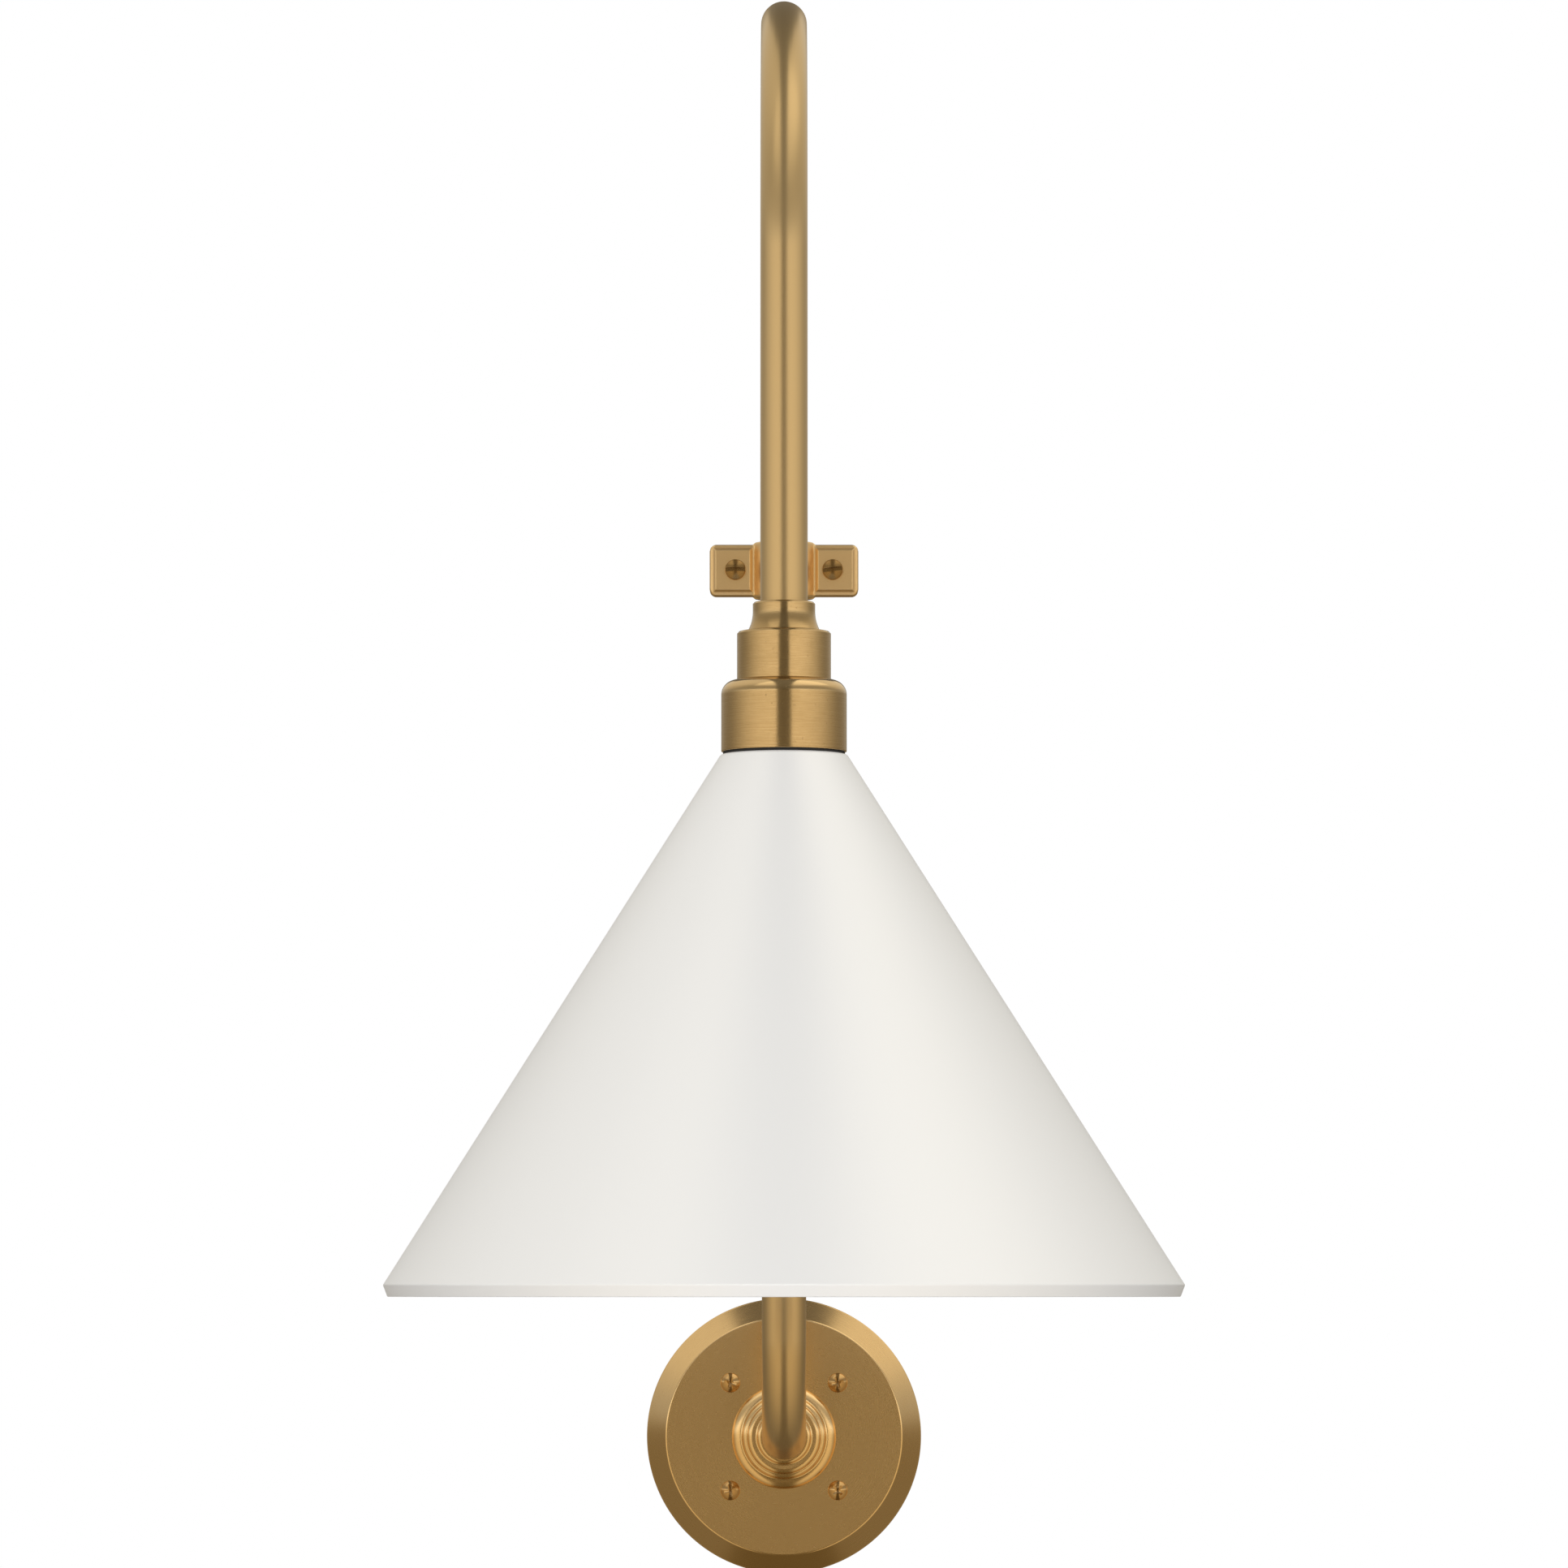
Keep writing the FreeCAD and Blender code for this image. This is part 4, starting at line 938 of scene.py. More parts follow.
@dataclass
class Tubes:
    """The riser with its elbow, and the gooseneck."""

    wall: float = 1.6 * MM
    elbow_radius: float = 42.0 * MM

    def build(self) -> None:
        """Make both tubes from the frame's boxes."""
        radius = half_width("gooseneck_tube")
        self._riser(radius)
        self._gooseneck(radius)

    def _riser(self, radius: float) -> None:
        """Make the tube from the wall boss to the swivel.

        Args:
            radius: The tube's outer radius.
        """
        low, high = span("lower_tube")
        column = float(low[1]) + radius
        elbow = np.array((0.0, column + self.elbow_radius, self.elbow_radius))
        path = np.concatenate([
            straight(np.array((0.0, high[1], 0.0)), np.array((0.0, elbow[1], 0.0)), 8),
            bend(elbow, self.elbow_radius, -math.pi / 2, -math.pi, 40)[:-1],
            straight(np.array((0.0, column, elbow[2])), np.array((0.0, column, high[2])), 24),
            [[0.0, column, high[2]]]])
        riser = make_mesh("riser_tube", [tube_patch(path, radius, radius - self.wall)])
        add_piece(riser, "base", BRASS, ("lower_tube",))

    def _gooseneck(self, radius: float) -> None:
        """Make the tube that rises from the swivel and comes down to the lampholder.

        Args:
            radius: The tube's outer radius.
        """
        low, high = span("gooseneck_tube")
        front, rear = float(low[1]) + radius, float(high[1]) - radius
        crook = (rear - front) / 2
        centre = np.array((0.0, (front + rear) / 2, float(high[2]) - radius - crook))
        foot = float(span("pivot_ferrule")[0][2])
        path = np.concatenate([
            straight(np.array((0.0, rear, foot)), np.array((0.0, rear, centre[2])), 12),
            bend(centre, crook, 0.0, math.pi, 128)[:-1],
            straight(np.array((0.0, front, centre[2])), np.array((0.0, front, low[2])), 14),
            [[0.0, front, low[2]]]])
        neck = make_mesh("gooseneck", [tube_patch(path, radius, radius - self.wall, 80)])
        add_piece(neck, "arm", BRASS, ("gooseneck_tube",))


# ------------------------------------------------------------------------------ swivel clamp


@dataclass(frozen=True)
class ClampFit:
    """What the clamp takes from its neighbours: radii, half widths and where it stands."""

    barrel: float
    ear: float
    tall: float
    bore: float
    column: float
    middle: float


@dataclass
class Clamp:
    """Two-part clamp round the swivel: barrel, blended ears, drafted pads and two screws."""

    split: float = 0.8 * MM
    ear_half_tall: float = 11.15 * MM
    ear_face: float = 4.0 * MM
    corner: float = 3.0 * MM
    pad_rise: float = 1.8 * MM
    pad_slope: float = 1.1 * MM
    pad_border: float = 1.5 * MM
    pad_start: float = 1.6 * MM
    rim_round: float = 1.3 * MM
    head_radius: float = 4.55 * MM
    head_tall: float = 3.0 * MM
    screw_out: float = 7.9 * MM
    bore_gap: float = 0.08 * MM
    ear_blend: float = 1.1 * MM
    ramp_blend: float = 0.12
    pad_blend: float = 0.10
    step_long: float = 1.6 * MM
    screw_past: float = 0.25 * MM
    screw_turns: Span = (0.02, 0.13)

    def build(self) -> None:
        """Make the two halves and their screws."""
        low, high = span("clamp_front")
        middle = float(low[2] + high[2]) / 2
        column = float(span("lower_tube")[0][1]) + half_width("gooseneck_tube")
        fit = ClampFit(barrel=column - float(low[1]), ear=half_width("clamp_front"),
                       tall=float(high[2] - low[2]) / 2,
                       bore=half_width("gooseneck_tube") + self.bore_gap,
                       column=column, middle=middle)
        for name, facing in (("front", -1.0), ("rear", 1.0)):
            patches = self._half(fit, facing)
            half = make_mesh(f"swivel_clamp_{name}", patches)
            add_piece(half, "base", BRASS_CAST, (f"clamp_{name}",))
        self._screws(fit)

    def _half(self, fit: ClampFit, facing: float) -> list[Patch]:
        """Carry a closed section along X.

        Formula: the outer face stands at the smooth maximum of the barrel's circle, the ear's
        plane and the pad's ramped plane; its height in Z follows the ear's rounded end and the
        barrel; the inner face follows the bore and then the split plane.

        Args:
            fit: The clamp's measures.
            facing: -1 for the front half, 1 for the rear one.

        Returns:
            A list of one patch.
        """
        x = self._stations(fit)
        across = self._rows()
        reach = self._half_height(np.abs(x), fit)
        z = reach[:, None] * across[None, :]
        width = np.broadcast_to(x[:, None], z.shape)
        y = self._face(width, z, fit, reach)
        inner_x, inner_y = self._inner(x, fit)
        inner_x = np.broadcast_to(inner_x[:, None], (len(x), 4))
        inner_y = np.broadcast_to(inner_y[:, None], (len(x), 4))
        inner_z = reach[:, None] * np.array((1.0, 0.995, -0.995, -1.0))
        loop = np.stack([np.concatenate([width, inner_x], axis=1),
                         np.concatenate([y, inner_y], axis=1),
                         np.concatenate([z, inner_z], axis=1)], axis=-1)
        capped = np.concatenate([self._cap(loop[:1]), loop, self._cap(loop[-1:])])
        placed = capped * np.array((1.0, facing, 1.0)) + np.array((0.0, fit.column, fit.middle))
        edge = np.zeros(placed.shape[:2])
        edge[:, :4] = 0.6
        edge[:, len(across) - 4:len(across)] = 0.6
        return [Patch(placed, capped * BRASS_CAST.plain_scale, edge, (False, True))]

    @staticmethod
    def _cap(loop: np.ndarray) -> np.ndarray:
        """Shrink an end loop to its middle, which closes the end."""
        return np.broadcast_to(loop.mean(axis=1, keepdims=True), loop.shape)

    def _stations(self, fit: ClampFit) -> np.ndarray:
        """Return X stations, closest at the blends, the pads' ramps and the ears' ends.

        Args:
            fit: The clamp's measures.

        Returns:
            The stations from left to right.
        """
        start = fit.barrel + self.pad_start
        end = fit.ear - self.pad_border
        right = np.concatenate([
            np.linspace(0, fit.barrel * 0.9, 28, endpoint=False),
            np.linspace(fit.barrel * 0.9, start - self.pad_slope, 14, endpoint=False),
            np.linspace(start - self.pad_slope, start + 0.5 * MM, 16, endpoint=False),
            np.linspace(start + 0.5 * MM, end - self.pad_slope - 0.5 * MM, 10, endpoint=False),
            np.linspace(end - self.pad_slope - 0.5 * MM, end, 16, endpoint=False),
            fit.ear - self.pad_border * np.cos(np.linspace(0, math.pi / 2, 9))])
        return np.concatenate([-right[:0:-1], right])

    def _rows(self) -> np.ndarray:
        """Return positions across the height from -1 to 1, closest at the rims and ramps.

        Returns:
            The shares from bottom to top.
        """
        upper = np.concatenate([
            np.linspace(0, 0.70, 6, endpoint=False), np.linspace(0.70, 0.95, 16, endpoint=False),
            1 - 0.05 * np.cos(np.linspace(0, math.pi / 2, 9))])
        return np.concatenate([-upper[:0:-1], upper])

    def _half_height(self, x: np.ndarray, fit: ClampFit) -> np.ndarray:
        """Return half the height in Z at each distance from the middle.

        Args:
            x: Distances from the middle.
            fit: The clamp's measures.

        Returns:
            Half heights.
        """
        step = np.clip((x - fit.barrel * 0.93) / self.step_long, 0, 1)
        smooth = step * step * (3 - 2 * step)
        height = fit.tall + (self.ear_half_tall - fit.tall) * smooth
        past = np.clip(x - (fit.ear - self.corner), 0, self.corner)
        return height - (self.corner - np.sqrt(np.clip(self.corner ** 2 - past ** 2, 0, None)))

    def _face(self, x: np.ndarray, z: np.ndarray, fit: ClampFit,
              reach: np.ndarray) -> np.ndarray:
        """Return how far the outer face stands from the swivel's axis plane.

        Args:
            x: Places across the clamp.
            z: Places along the column.
            fit: The clamp's measures.
            reach: Half of the height at each station.

        Returns:
            Distances of the outer face.
        """
        away = np.abs(x)
        start = fit.barrel + self.pad_start
        end = fit.ear - self.pad_border
        ramp_x = np.minimum((away - (start - self.pad_slope)), (end - away)) / self.pad_slope
        ramp_z = (self.ear_half_tall - self.pad_border - np.abs(z)) / self.pad_slope
        ramps = np.clip(soft_min(ramp_x, ramp_z, self.ramp_blend), -1, 2)
        ramp = soft_min(ramps, 1.0, self.pad_blend)
        ears = self.ear_face + self.pad_rise * soft_max(ramp, 0.0, self.pad_blend)
        circle = np.sqrt(np.clip(fit.barrel ** 2 - away ** 2, 0, None))
        face = soft_max(circle, ears, self.ear_blend)
        rim = np.clip((reach[:, None] - np.abs(z)) / self.rim_round, 0, 1)
        tip = np.clip((fit.ear - away) / self.rim_round, 0, 1)
        drop = 2 - np.sqrt(1 - (1 - rim) ** 2) - np.sqrt(1 - (1 - tip) ** 2)
        return face - self.rim_round * np.clip(drop, 0, 1)

    def _inner(self, x: np.ndarray, fit: ClampFit) -> tuple[np.ndarray, np.ndarray]:
        """Return the inner wall: the bore's half circle, then the split plane out to the end.

        Args:
            x: The stations.
            fit: The clamp's measures.

        Returns:
            Places across the clamp, and distances of the inner wall.
        """
        away, half_split = np.abs(x), self.split / 2
        turn = np.clip(away / fit.barrel, 0, 1) * (math.pi / 2)
        beyond = np.clip((away - fit.barrel) / (fit.ear - fit.barrel), 0, 1)
        round_bore = away < fit.barrel
        out = np.where(round_bore, fit.bore * np.sin(turn),
                       fit.bore + (fit.ear - fit.bore) * beyond)
        depth = np.where(round_bore, np.maximum(fit.bore * np.cos(turn), half_split), half_split)
        return np.sign(x) * out, depth

    def _screws(self, fit: ClampFit) -> None:
        """Make the two slotted screws, whose ends show at the rear pads.

        Args:
            fit: The clamp's measures.
        """
        patches = []
        face = self.ear_face + self.pad_rise
        for side, turn in zip((-1, 1), self.screw_turns):
            seat = Axis((side * (fit.barrel + self.screw_out), fit.column - face, fit.middle),
                        (0.0, -1.0, 0.0), (math.cos(turn), 0.0, math.sin(turn)))
            screw = DomedScrew(self.head_radius, self.head_tall, Drive.SLOT,
                               2 * face + self.screw_past, half_slot=0.75 * MM, lip=1.3 * MM)
            patches += screw.patches(seat)
        screws = make_mesh("swivel_clamp_screws", patches)
        add_piece(screws, "base", SHADED_CLAMP_SCREW_BRASS, ("clamp_screws",))


def soft_max(first: np.ndarray, second: Union[np.ndarray, float], width: float) -> np.ndarray:
    """Return the larger value, rounded over a width: (a + b + sqrt((a - b)^2 + w^2)) / 2."""
    return (first + second + np.sqrt((first - second) ** 2 + width ** 2)) / 2


def soft_min(first: np.ndarray, second: Union[np.ndarray, float], width: float) -> np.ndarray:
    """Return the smaller value, rounded over a width."""
    return -soft_max(-first, -second, width)


# ------------------------------------------------------------------------------ holder and shade


@dataclass
class HolderStack:
    """Neck collar, small cover, gallery and gasket above the shade."""

    wall: float = 1.5 * MM
    flare: float = 2.2 * MM
    flare_drop: float = 8.2 * MM
    shoulder: float = 5.8 * MM
    top_hole: float = 5.2 * MM
    cover_top: float = 2.0 * MM
    neck_web: float = 2.5 * MM
    gasket_width: float = 2.2 * MM
    axis: Axis = field(default_factory=hanging_axis)

    def build(self) -> None:
        """Make the stack from the top down."""
        self._neck()
        self._cover()
        self._gallery()
        self._gasket()

    def _neck(self) -> None:
        """Make the flared collar: the flare is an arc that starts upright."""
        low, high = span("neck_collar")
        foot = half_width("neck_collar")
        top_radius = foot - self.flare
        bore = half_width("gooseneck_tube") + FIT_GAP
        radius = (self.flare ** 2 + self.flare_drop ** 2) / (2 * self.flare)
        sweep = np.linspace(0, math.asin(self.flare_drop / radius), 14)
        arc = [Corner(top_radius + radius * (1 - math.cos(a)), low[2] + self.flare_drop
                      - radius * math.sin(a)) for a in sweep]
        arc[-1] = Corner(arc[-1].r, float(low[2]) + 0.5 * MM)
        shape = outline(
            [Corner(bore, high[2], 0.15 * MM), Corner(top_radius - 0.7 * MM, high[2], 0.25 * MM),
             Corner(top_radius, high[2] - 0.7 * MM, 0.35 * MM)] + arc
            + [Corner(foot - 0.1 * MM, low[2], 0.2 * MM), Corner(NIPPLE_HOLE, low[2]),
               Corner(NIPPLE_HOLE, low[2] + self.neck_web),
               Corner(bore, low[2] + self.neck_web)])
        collar = make_mesh("neck_flare", [turned_patch(self.axis, shape, 128)])
        add_piece(collar, "arm", BRASS_TURNED, ("neck_collar",))

    def _cover(self) -> None:
        """Make the small cover, a cup with a narrow chamfer round its top."""
        low, high = span("socket_cover")
        radius = half_width("socket_cover")
        shape = outline([
            Corner(self.top_hole, high[2]), Corner(radius - 0.8 * MM, high[2], 0.25 * MM),
            Corner(radius, high[2] - 0.8 * MM, 0.3 * MM), Corner(radius, low[2], 0.25 * MM),
            Corner(radius - self.wall, low[2], 0.2 * MM),
            Corner(radius - self.wall, high[2] - self.cover_top),
            Corner(self.top_hole, high[2] - self.cover_top)])
        cover = make_mesh("small_cover", [turned_patch(self.axis, shape, 144)])
        add_piece(cover, "arm", BRASS_TURNED, ("socket_cover",))

    def _gallery(self) -> None:
        """Make the larger cup with its rounded shoulder."""
        low, high = span("shade_gallery")
        radius = half_width("shade_gallery")
        hole = half_width("lampholder_body") + 0.3 * MM
        shape = outline([
            Corner(hole, high[2]), Corner(radius, high[2], self.shoulder),
            Corner(radius, low[2], 0.35 * MM), Corner(radius - self.wall, low[2], 0.25 * MM),
            Corner(radius - self.wall, high[2] - self.wall, self.shoulder - self.wall),
            Corner(hole, high[2] - self.wall)], steps=16)
        gallery = make_mesh("shade_cap", [turned_patch(self.axis, shape, 176)])
        add_piece(gallery, "arm", BRASS_TURNED, ("shade_gallery",))

    def _gasket(self) -> None:
        """Make the thin black washer with bulging edges; its black paints the shadow line in the
        joint between the gallery and the shade.
        """
        low, high = span("shade_gasket")
        radius = half_width("shade_gasket")
        shape = outline([
            Corner(radius - self.gasket_width, low[2], 0.3 * MM), Corner(radius, low[2], 0.45 * MM),
            Corner(radius, high[2], 0.45 * MM),
            Corner(radius - self.gasket_width, high[2], 0.3 * MM)])
        gasket = make_mesh("shadow_line_washer", [turned_patch(self.axis, shape, 144)])
        add_piece(gasket, "arm", RUBBER_AND_SHADOW_LINE, ("shade_gasket",))


@dataclass
class Shade:
    """Spun cone with a flat fitter ring, a short inturned lip and a ring nut below it."""

    wall: float = 1.2 * MM
    top_radius: float = 25.3 * MM
    hole: float = 18.0 * MM
    lip: float = 4.7 * MM
    lip_in: float = 1.8 * MM
    notches: int = 12
    notch_deep: float = 1.2 * MM
    notch_band: float = 2.0 * MM
    ring_sides: int = 288

    def build(self) -> None:
        """Make the shade and the ring that holds it."""
        low, high = span("shade")
        axis = hanging_axis()
        radius = float(high[1] - low[1]) / 2
        top, foot = float(high[2]), float(low[2])
        rim = foot + self.lip
        slope = (radius - self.top_radius) / (top - rim)
        skin = self.wall * math.sqrt(1 + slope ** 2)
        shape = outline([
            Corner(self.hole, top, 0.3 * MM), Corner(self.top_radius, top, 2.2 * MM),
            Corner(radius, rim, 1.0 * MM), Corner(radius - self.lip_in, foot, 0.5 * MM),
            Corner(radius - self.lip_in - skin, foot, 0.5 * MM),
            Corner(radius - skin, rim, 0.6 * MM),
            Corner(self.top_radius + self.wall * slope - skin, top - self.wall, 1.2 * MM),
            Corner(self.hole, top - self.wall, 0.3 * MM)], steps=9)
        cone = make_mesh("cone_shade", [turned_patch(axis, shape, 320)])
        add_piece(cone, "arm", ENAMEL, ("shade",))
        self._ring(axis, top - self.wall)

    def _ring(self, axis: Axis, top: float) -> None:
        """Make the ring nut: its radius dips at each of the notches round it.

        Args:
            axis: The shade's axis.
            top: Height of the ring's top.
        """
        radius = half_width("shade_ring")
        low = float(span("shade_ring")[0][2])
        bore = half_width("lampholder_body") + FIT_GAP
        shape = outline([Corner(bore, low, 0.3 * MM), Corner(radius, low, 0.6 * MM),
                         Corner(radius, top, 0.4 * MM), Corner(bore, top, 0.2 * MM)])
        patch = turned_patch(axis, shape, self.ring_sides)
        centre = np.array((axis.origin[0], axis.origin[1], 0.0))
        out = (patch.points - centre) * np.array((1.0, 1.0, 0.0))
        distance = np.linalg.norm(out, axis=-1, keepdims=True)
        angle = np.linspace(0, 2 * math.pi, self.ring_sides, endpoint=False)
        dip = np.clip(np.cos(self.notches * angle) - 0.55, 0, None) / 0.45
        share = np.clip((distance - (radius - self.notch_band)) / self.notch_band, 0, 1)
        inwards = self.notch_deep * share * dip[None, :, None]
        patch.points = patch.points - out / distance * inwards
        ring = make_mesh("shade_ring_nut", [patch])
        add_piece(ring, "arm", WHITE_MOULDING, ("shade_ring",))


@dataclass
class Lampholder:
    """Porcelain body, rolled screw shell and centre contact inside the shade."""

    web: float = 5.0 * MM
    chamber: float = 21.8 * MM
    head: float = 4.0 * MM
    thread_pitch: float = 3.63 * MM
    thread_deep: float = 0.36 * MM
    sheet: float = 0.14 * MM
    turned_in: float = 5.5 * MM
    pin_hole: float = 1.6 * MM
    rivet: tuple[float, float, float] = (2.4 * MM, 1.5 * MM, 2.6 * MM)
    axis: Axis = field(default_factory=hanging_axis)

    def build(self) -> None:
        """Make the three visible pieces of the lampholder."""
        self._body()
        self._shell()
        self._contact()

    def _body(self) -> None:
        """Make the body: wiring chamber above, shell chamber below."""
        low, high = span("lampholder_body")
        radius = half_width("lampholder_body")
        shell = half_width("lampholder_shell") + 0.05 * MM
        ceiling = high[2] - self.head
        web_top = ceiling - self.chamber
        shape = outline([
            Corner(NIPPLE_HOLE, high[2]), Corner(radius, high[2], 0.8 * MM),
            Corner(radius, low[2], 1.1 * MM), Corner(shell, low[2], 0.7 * MM),
            Corner(shell, web_top - self.web), Corner(self.pin_hole, web_top - self.web),
            Corner(self.pin_hole, web_top), Corner(shell - 0.3 * MM, web_top),
            Corner(shell - 0.3 * MM, ceiling), Corner(NIPPLE_HOLE, ceiling)])
        body = make_mesh("holder_porcelain", [turned_patch(self.axis, shape, 128)])
        add_piece(body, "arm", GLAZE, ("lampholder_body",))

    def _shell(self) -> None:
        """Make the rolled shell.

        Formula: radius = middle + depth * sin(2 pi height / pitch - angle), fading out at both
        ends, for the inner wall going up and the outer wall coming down.
        """
        low, high = span("lampholder_shell")
        outer = half_width("lampholder_shell")
        rows, columns = 150, 112
        height = np.linspace(float(low[2]), float(high[2]) - 0.3 * MM, rows)
        angle = np.linspace(0, 2 * math.pi, columns, endpoint=False)
        fade = np.clip((height - height[0]) / (2 * MM), 0, 1) * np.clip(
            (height[-1] - height) / (4 * MM), 0, 1)
        wave = np.sin(2 * math.pi * height[:, None] / self.thread_pitch - angle[None, :])
        middle = outer - self.thread_deep - self.sheet
        rolled = middle + self.thread_deep * fade[:, None] * wave
        top = np.full((2, columns), outer - self.turned_in)
        radius = np.concatenate([rolled, top, rolled[::-1] + self.sheet])
        level = np.concatenate([height, [height[-1], high[2], high[2]], height[::-1][1:]])
        heights = np.broadcast_to(level[:, None], radius.shape)
        angles = np.broadcast_to(angle[None, :], radius.shape)
        points = self.axis.turn(radius, heights, angles)
        grain = np.stack([heights * LINE_SCALE, np.cos(angles), np.sin(angles)], axis=-1)
        edge = np.concatenate([fade[:, None] * np.clip(-wave, 0, 1), np.zeros((2, columns)),
                               np.zeros((rows, columns))])
        shell = make_mesh("screw_shell", [Patch(points, grain, edge)])
        add_piece(shell, "arm", NICKEL, ("lampholder_shell",))

    def _contact(self) -> None:
        """Make the domed centre contact and its rivet."""
        low, high = span("centre_contact")
        radius = half_width("centre_contact")
        tip, pin, head = self.rivet
        web_top = high[2] - 1 * MM
        web_low = web_top - self.web
        shape = outline([
            Corner(0.0, low[2]), Corner(tip, low[2], 0.8 * MM),
            Corner(radius, web_low - 1 * MM, 0.4 * MM), Corner(radius, web_low, 0.2 * MM),
            Corner(pin, web_low), Corner(pin, web_top), Corner(head, web_top, 0.2 * MM),
            Corner(head, high[2], 0.4 * MM), Corner(0.0, high[2])])
        contact = make_mesh("holder_contact", [turned_patch(self.axis, shape, 48)])
        add_piece(contact, "arm", CONTACT_BRASS, ("centre_contact",))


# ------------------------------------------------------------------------------ studio


@dataclass
class Softbox:
    """A panel of light that looks at a point; neither the camera nor a mirrored ray sees it."""

    name: str
    place: tuple[float, float, float]
    size: tuple[float, float]
    power: float
    target: tuple[float, float, float] = (0.0, -0.25, 0.3)

    def build(self) -> None:
        """Add the light to the scene."""
        lamp = bpy.data.lights.new(self.name, "AREA")
        lamp.shape = "RECTANGLE"
        lamp.size, lamp.size_y = self.size
        lamp.energy = self.power
        panel = bpy.data.objects.new(self.name, lamp)
        bpy.context.scene.collection.objects.link(panel)
        aim(panel, self.place, self.target)
        panel.visible_camera = False
        panel.visible_glossy = False


def aim(thing: bpy.types.Object, place: tuple, target: tuple) -> None:
    """Stand an object at a place with its local -Z towards a target and its top up.

    Args:
        thing: The object to turn.
        place: Where it stands.
        target: What it faces.
    """
    thing.location = place
    direction = Vector(target) - Vector(place)
    thing.rotation_euler = direction.to_track_quat("-Z", "Y").to_euler()


@dataclass(frozen=True)
class Tent:
    """The soft tent that only mirrored rays see; matt surfaces take an even white instead.

    Directions are right, back and up from the sconce.  A Span is where a smooth step starts and
    ends, and the other numbers are brightnesses and shares.
    """

    gap: Span = (0.21, 0.235)
    gap_widens: float = 0.12
    gap_level: float = 0.16
    gap_top: float = 0.04
    gap_foot: float = 0.58
    walls: float = 0.46
    panels: float = 1.20
    overhead: float = 0.38
    ceiling: float = 0.45
    ambient: float = 0.50
    under: float = 0.20
    under_sides: float = 0.30
    lean: float = 0.02
    front: Span = (-0.6, 0.95)
    opening_starts: Span = (0.20, 0.45)
    opening_ends: Span = (0.75, 0.92)
    panel_tops: Span = (0.155, 0.27)
    upper: Span = (0.15, 0.45)
    dome: Span = (0.35, 0.80)
    dome_tilt: float = 0.45
    dome_middle: Span = (-0.05, 0.05)
    dome_left: float = 0.85
    dome_right_more: float = 0.2
    below_eye: Span = (-0.10, 0.10)
    ceiling_starts: Span = (0.50, 0.70)
    ceiling_front: Span = (-0.06, -0.03)
    ceiling_skew: float = 0.4
    foot_in_gap: Span = (-0.11, 0.02)
    foot_beside: Span = (0.01, 0.13)
    low_tone: tuple = (1.0, 0.72, 0.32, 1.0)
    side_tone: tuple = (1.0, 0.80, 0.48, 1.0)
    dome_tone: tuple = (1.0, 0.92, 0.74, 1.0)
    gap_tone: tuple = (1.0, 0.88, 0.64, 1.0)
    eye_tone: tuple = (1.0, 0.96, 0.85, 1.0)

    def light(self, graph: Graph) -> Wire:
        """Build the tent's light.

        Formula: walls, front panels, a dome and a ceiling add up beside a dark upright gap, which
        widens behind the sconce; below eye level all of it fades to a dim warm foot.

        Args:
            graph: The world's node tree.

        Returns:
            The background shader of the light.
        """
        right, back, up = (graph.add("ShaderNodeSeparateXYZ", {}, {0: graph.add(
            "ShaderNodeTexCoord", output="Generated")}, index) for index in range(3))
        aside = graph.add("ShaderNodeMath", {"operation": "ABSOLUTE"}, {0: right})
        front = graph.ramp(0.0 - back, *self.front)
        opening = graph.ramp(back, *self.opening_starts) * (
            1.0 - graph.ramp(back, *self.opening_ends))
        beside_gap = graph.ramp(aside - opening * self.gap_widens, *self.gap)
        panels = 1.0 - graph.ramp(up, *self.panel_tops)
        upper = graph.ramp(up, *self.upper)
        dome = graph.ramp(up + back * self.dome_tilt, *self.dome) * (
            graph.ramp(right, *self.dome_middle) * self.dome_right_more + self.dome_left)
        below_eye = 1.0 - graph.ramp(up, *self.below_eye)
        ceiling = graph.ramp(up, *self.ceiling_starts) * (
            1.0 - graph.ramp(back - right * self.ceiling_skew, *self.ceiling_front))
        side = (self.walls + front * panels * self.panels + dome * self.overhead
                + ceiling * self.ceiling)
        gap = self.gap_level + below_eye * self.gap_foot + upper * (1.0 - opening) * self.gap_top
        above = graph.blend_level(beside_gap, graph.ramp(up, *self.foot_in_gap),
                                  graph.ramp(up, *self.foot_beside))
        tent = side * beside_gap + gap * (1.0 - beside_gap)
        low = beside_gap * self.under_sides + self.under
        level = tent * (above * (1.0 - low) + low) * (right * self.lean + 1.0)
        front_tone = graph.blend(beside_gap, self.gap_tone, self.eye_tone)
        under_tone = graph.blend(beside_gap, self.low_tone, self.side_tone)
        tone = graph.blend(upper, graph.blend(above, under_tone, front_tone), self.dome_tone)
        mirrored = graph.add("ShaderNodeLightPath", output="Is Glossy Ray")
        level = level * mirrored + (1.0 - mirrored) * self.ambient
        tone = graph.blend(mirrored, WHITE, tone)
        return graph.add("ShaderNodeBackground", {}, {"Color": tone, "Strength": level})


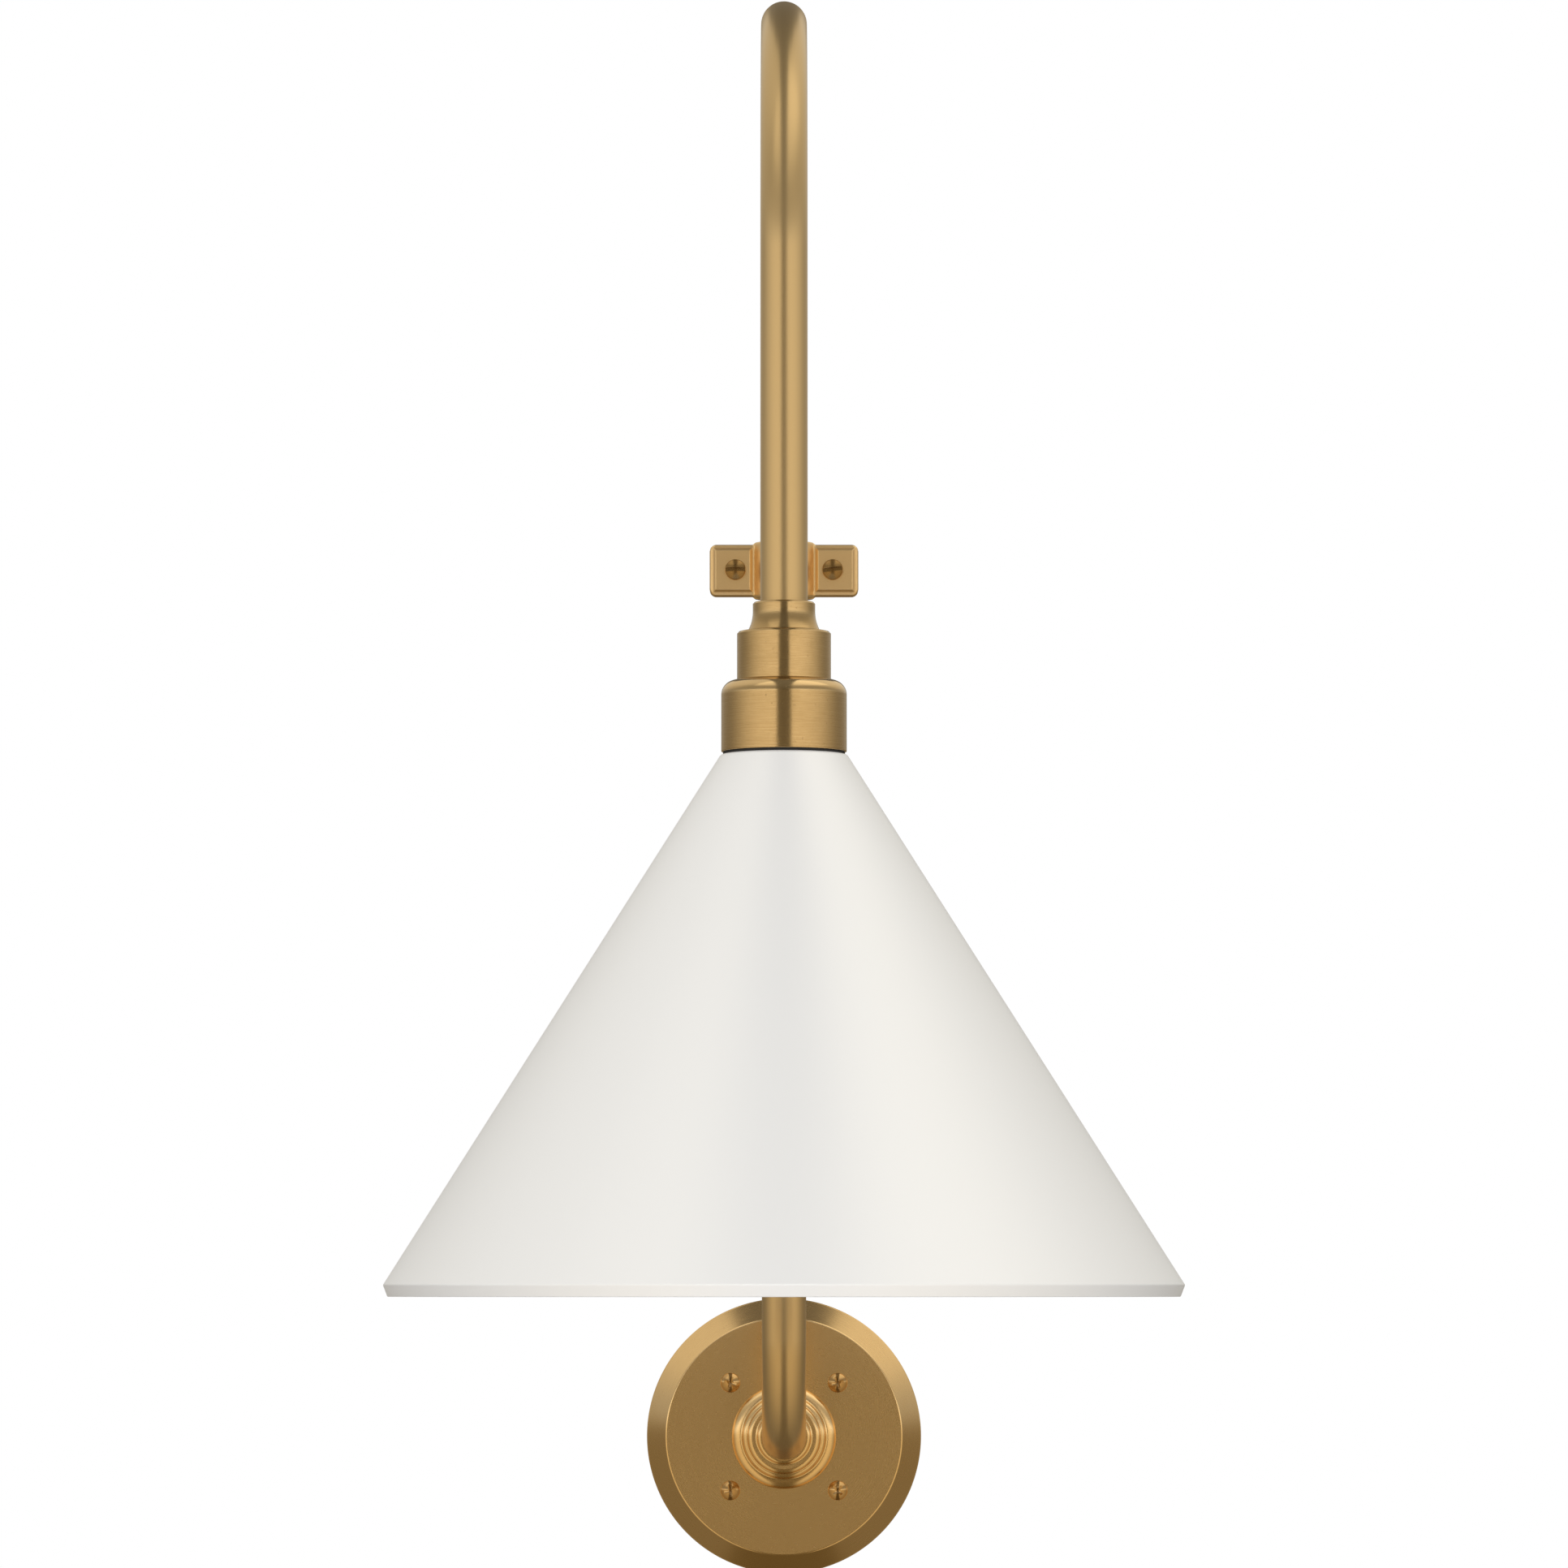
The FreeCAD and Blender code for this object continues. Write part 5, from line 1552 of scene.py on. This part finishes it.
@dataclass
class Studio:
    """White surround, pale floor, softboxes and the camera."""

    floor_height: float = -1.25
    floor_half: float = 2.2
    floor_forward: float = 0.5
    camera_distance: float = 2.85
    camera_height: float = 0.0637
    pitch: float = 4.07
    lens: float = 163.5
    tent: Tent = Tent()

    def build(self) -> None:
        """Set the world, the floor, the lights and the camera."""
        scene = bpy.context.scene
        scene.view_settings.view_transform = "Standard"
        self._world(scene)
        self._floor()
        self._lights()
        self._camera(scene)

    def _world(self, scene: bpy.types.Scene) -> None:
        """Show white to the camera and the tent's light to everything else.

        Args:
            scene: The scene to light.
        """
        world = bpy.data.worlds.new("studio")
        world.use_nodes = True
        scene.world = world
        graph = Graph(world.node_tree)
        seen = graph.add("ShaderNodeLightPath", output="Is Camera Ray")
        shown = graph.add("ShaderNodeBackground", {}, {"Color": WHITE, "Strength": 1.0})
        inputs = {0: seen, 1: self.tent.light(graph), 2: shown}
        mixed = graph.add("ShaderNodeMixShader", {}, inputs)
        graph.add("ShaderNodeOutputWorld", {}, {"Surface": mixed})

    def _floor(self) -> None:
        """Lay a plain pale floor well below the sconce."""
        half, height = self.floor_half, self.floor_height
        front, rear = -half - self.floor_forward, half - self.floor_forward
        mesh = bpy.data.meshes.new("floor")
        mesh.from_pydata([(-half, front, height), (half, front, height),
                          (half, rear, height), (-half, rear, height)], [], [(0, 1, 2, 3)])
        floor = bpy.data.objects.new("floor", mesh)
        bpy.context.scene.collection.objects.link(floor)
        mesh.materials.append(Moulding("pale_floor", base=linear(226, 226, 226),
                                       shadow=linear(220, 220, 220), roughness=0.8).material())
        floor.visible_glossy = False

    def _lights(self) -> None:
        """Place a rear panel and four fills, none of which the metal mirrors."""
        for box in (
                Softbox("rear_box", (0.0, 2.4, 1.4), (2.4, 1.6), 10.0),
                Softbox("front_fill", (0.0, -3.0, 1.0), (1.6, 1.6), 40.0),
                Softbox("left_fill", (-2.4, 0.1, 0.9), (1.4, 1.8), 12.0),
                Softbox("right_fill", (2.4, 0.1, 0.9), (1.4, 1.8), 7.0),
                Softbox("low_fill", (0.0, -2.2, -0.9), (2.0, 0.8), 10.0)):
            box.build()

    def _camera(self, scene: bpy.types.Scene) -> None:
        """Stand the camera on the sconce's centre plane, a little below the shade's rim.

        Args:
            scene: The scene that takes the camera.
        """
        axis_y = hanging_axis().origin[1]
        lens = bpy.data.cameras.new("camera")
        lens.lens = self.lens
        lens.sensor_width = 36.0
        lens.clip_end = 50.0
        camera = bpy.data.objects.new("camera", lens)
        scene.collection.objects.link(camera)
        camera.location = (0.0, axis_y - self.camera_distance, self.camera_height)
        camera.rotation_euler = (math.radians(90 + self.pitch), 0.0, 0.0)
        scene.camera = camera


# ------------------------------------------------------------------------------ the whole sconce


def dress_frame() -> None:
    """Give every frame node that still shows the finish of its material slot."""
    slots = {part["node"]: part["material_slot"] for part in frame["record"]["subparts"]}
    for name, node in frame["nodes"].items():
        if node.hide_render:
            continue
        finish = CAD_FINISHES[slots[name]]
        made = finish.material()
        if not node.material_slots:
            node.data.materials.append(made)
        for holder in node.material_slots:
            holder.material = made
        LOG.info("%s keeps its own shape in %s", name, finish.name)


def main() -> None:
    """Build the studio and every sub-assembly in order."""
    logging.basicConfig(level=logging.INFO, format="%(name)s: %(message)s")
    for assembly in (Studio(), Backplate(), WallBoss(), Tubes(), Clamp(), HolderStack(), Shade(),
                     Lampholder()):
        LOG.info("building %s", type(assembly).__name__)
        assembly.build()
    dress_frame()


if __name__ == "__main__":
    main()
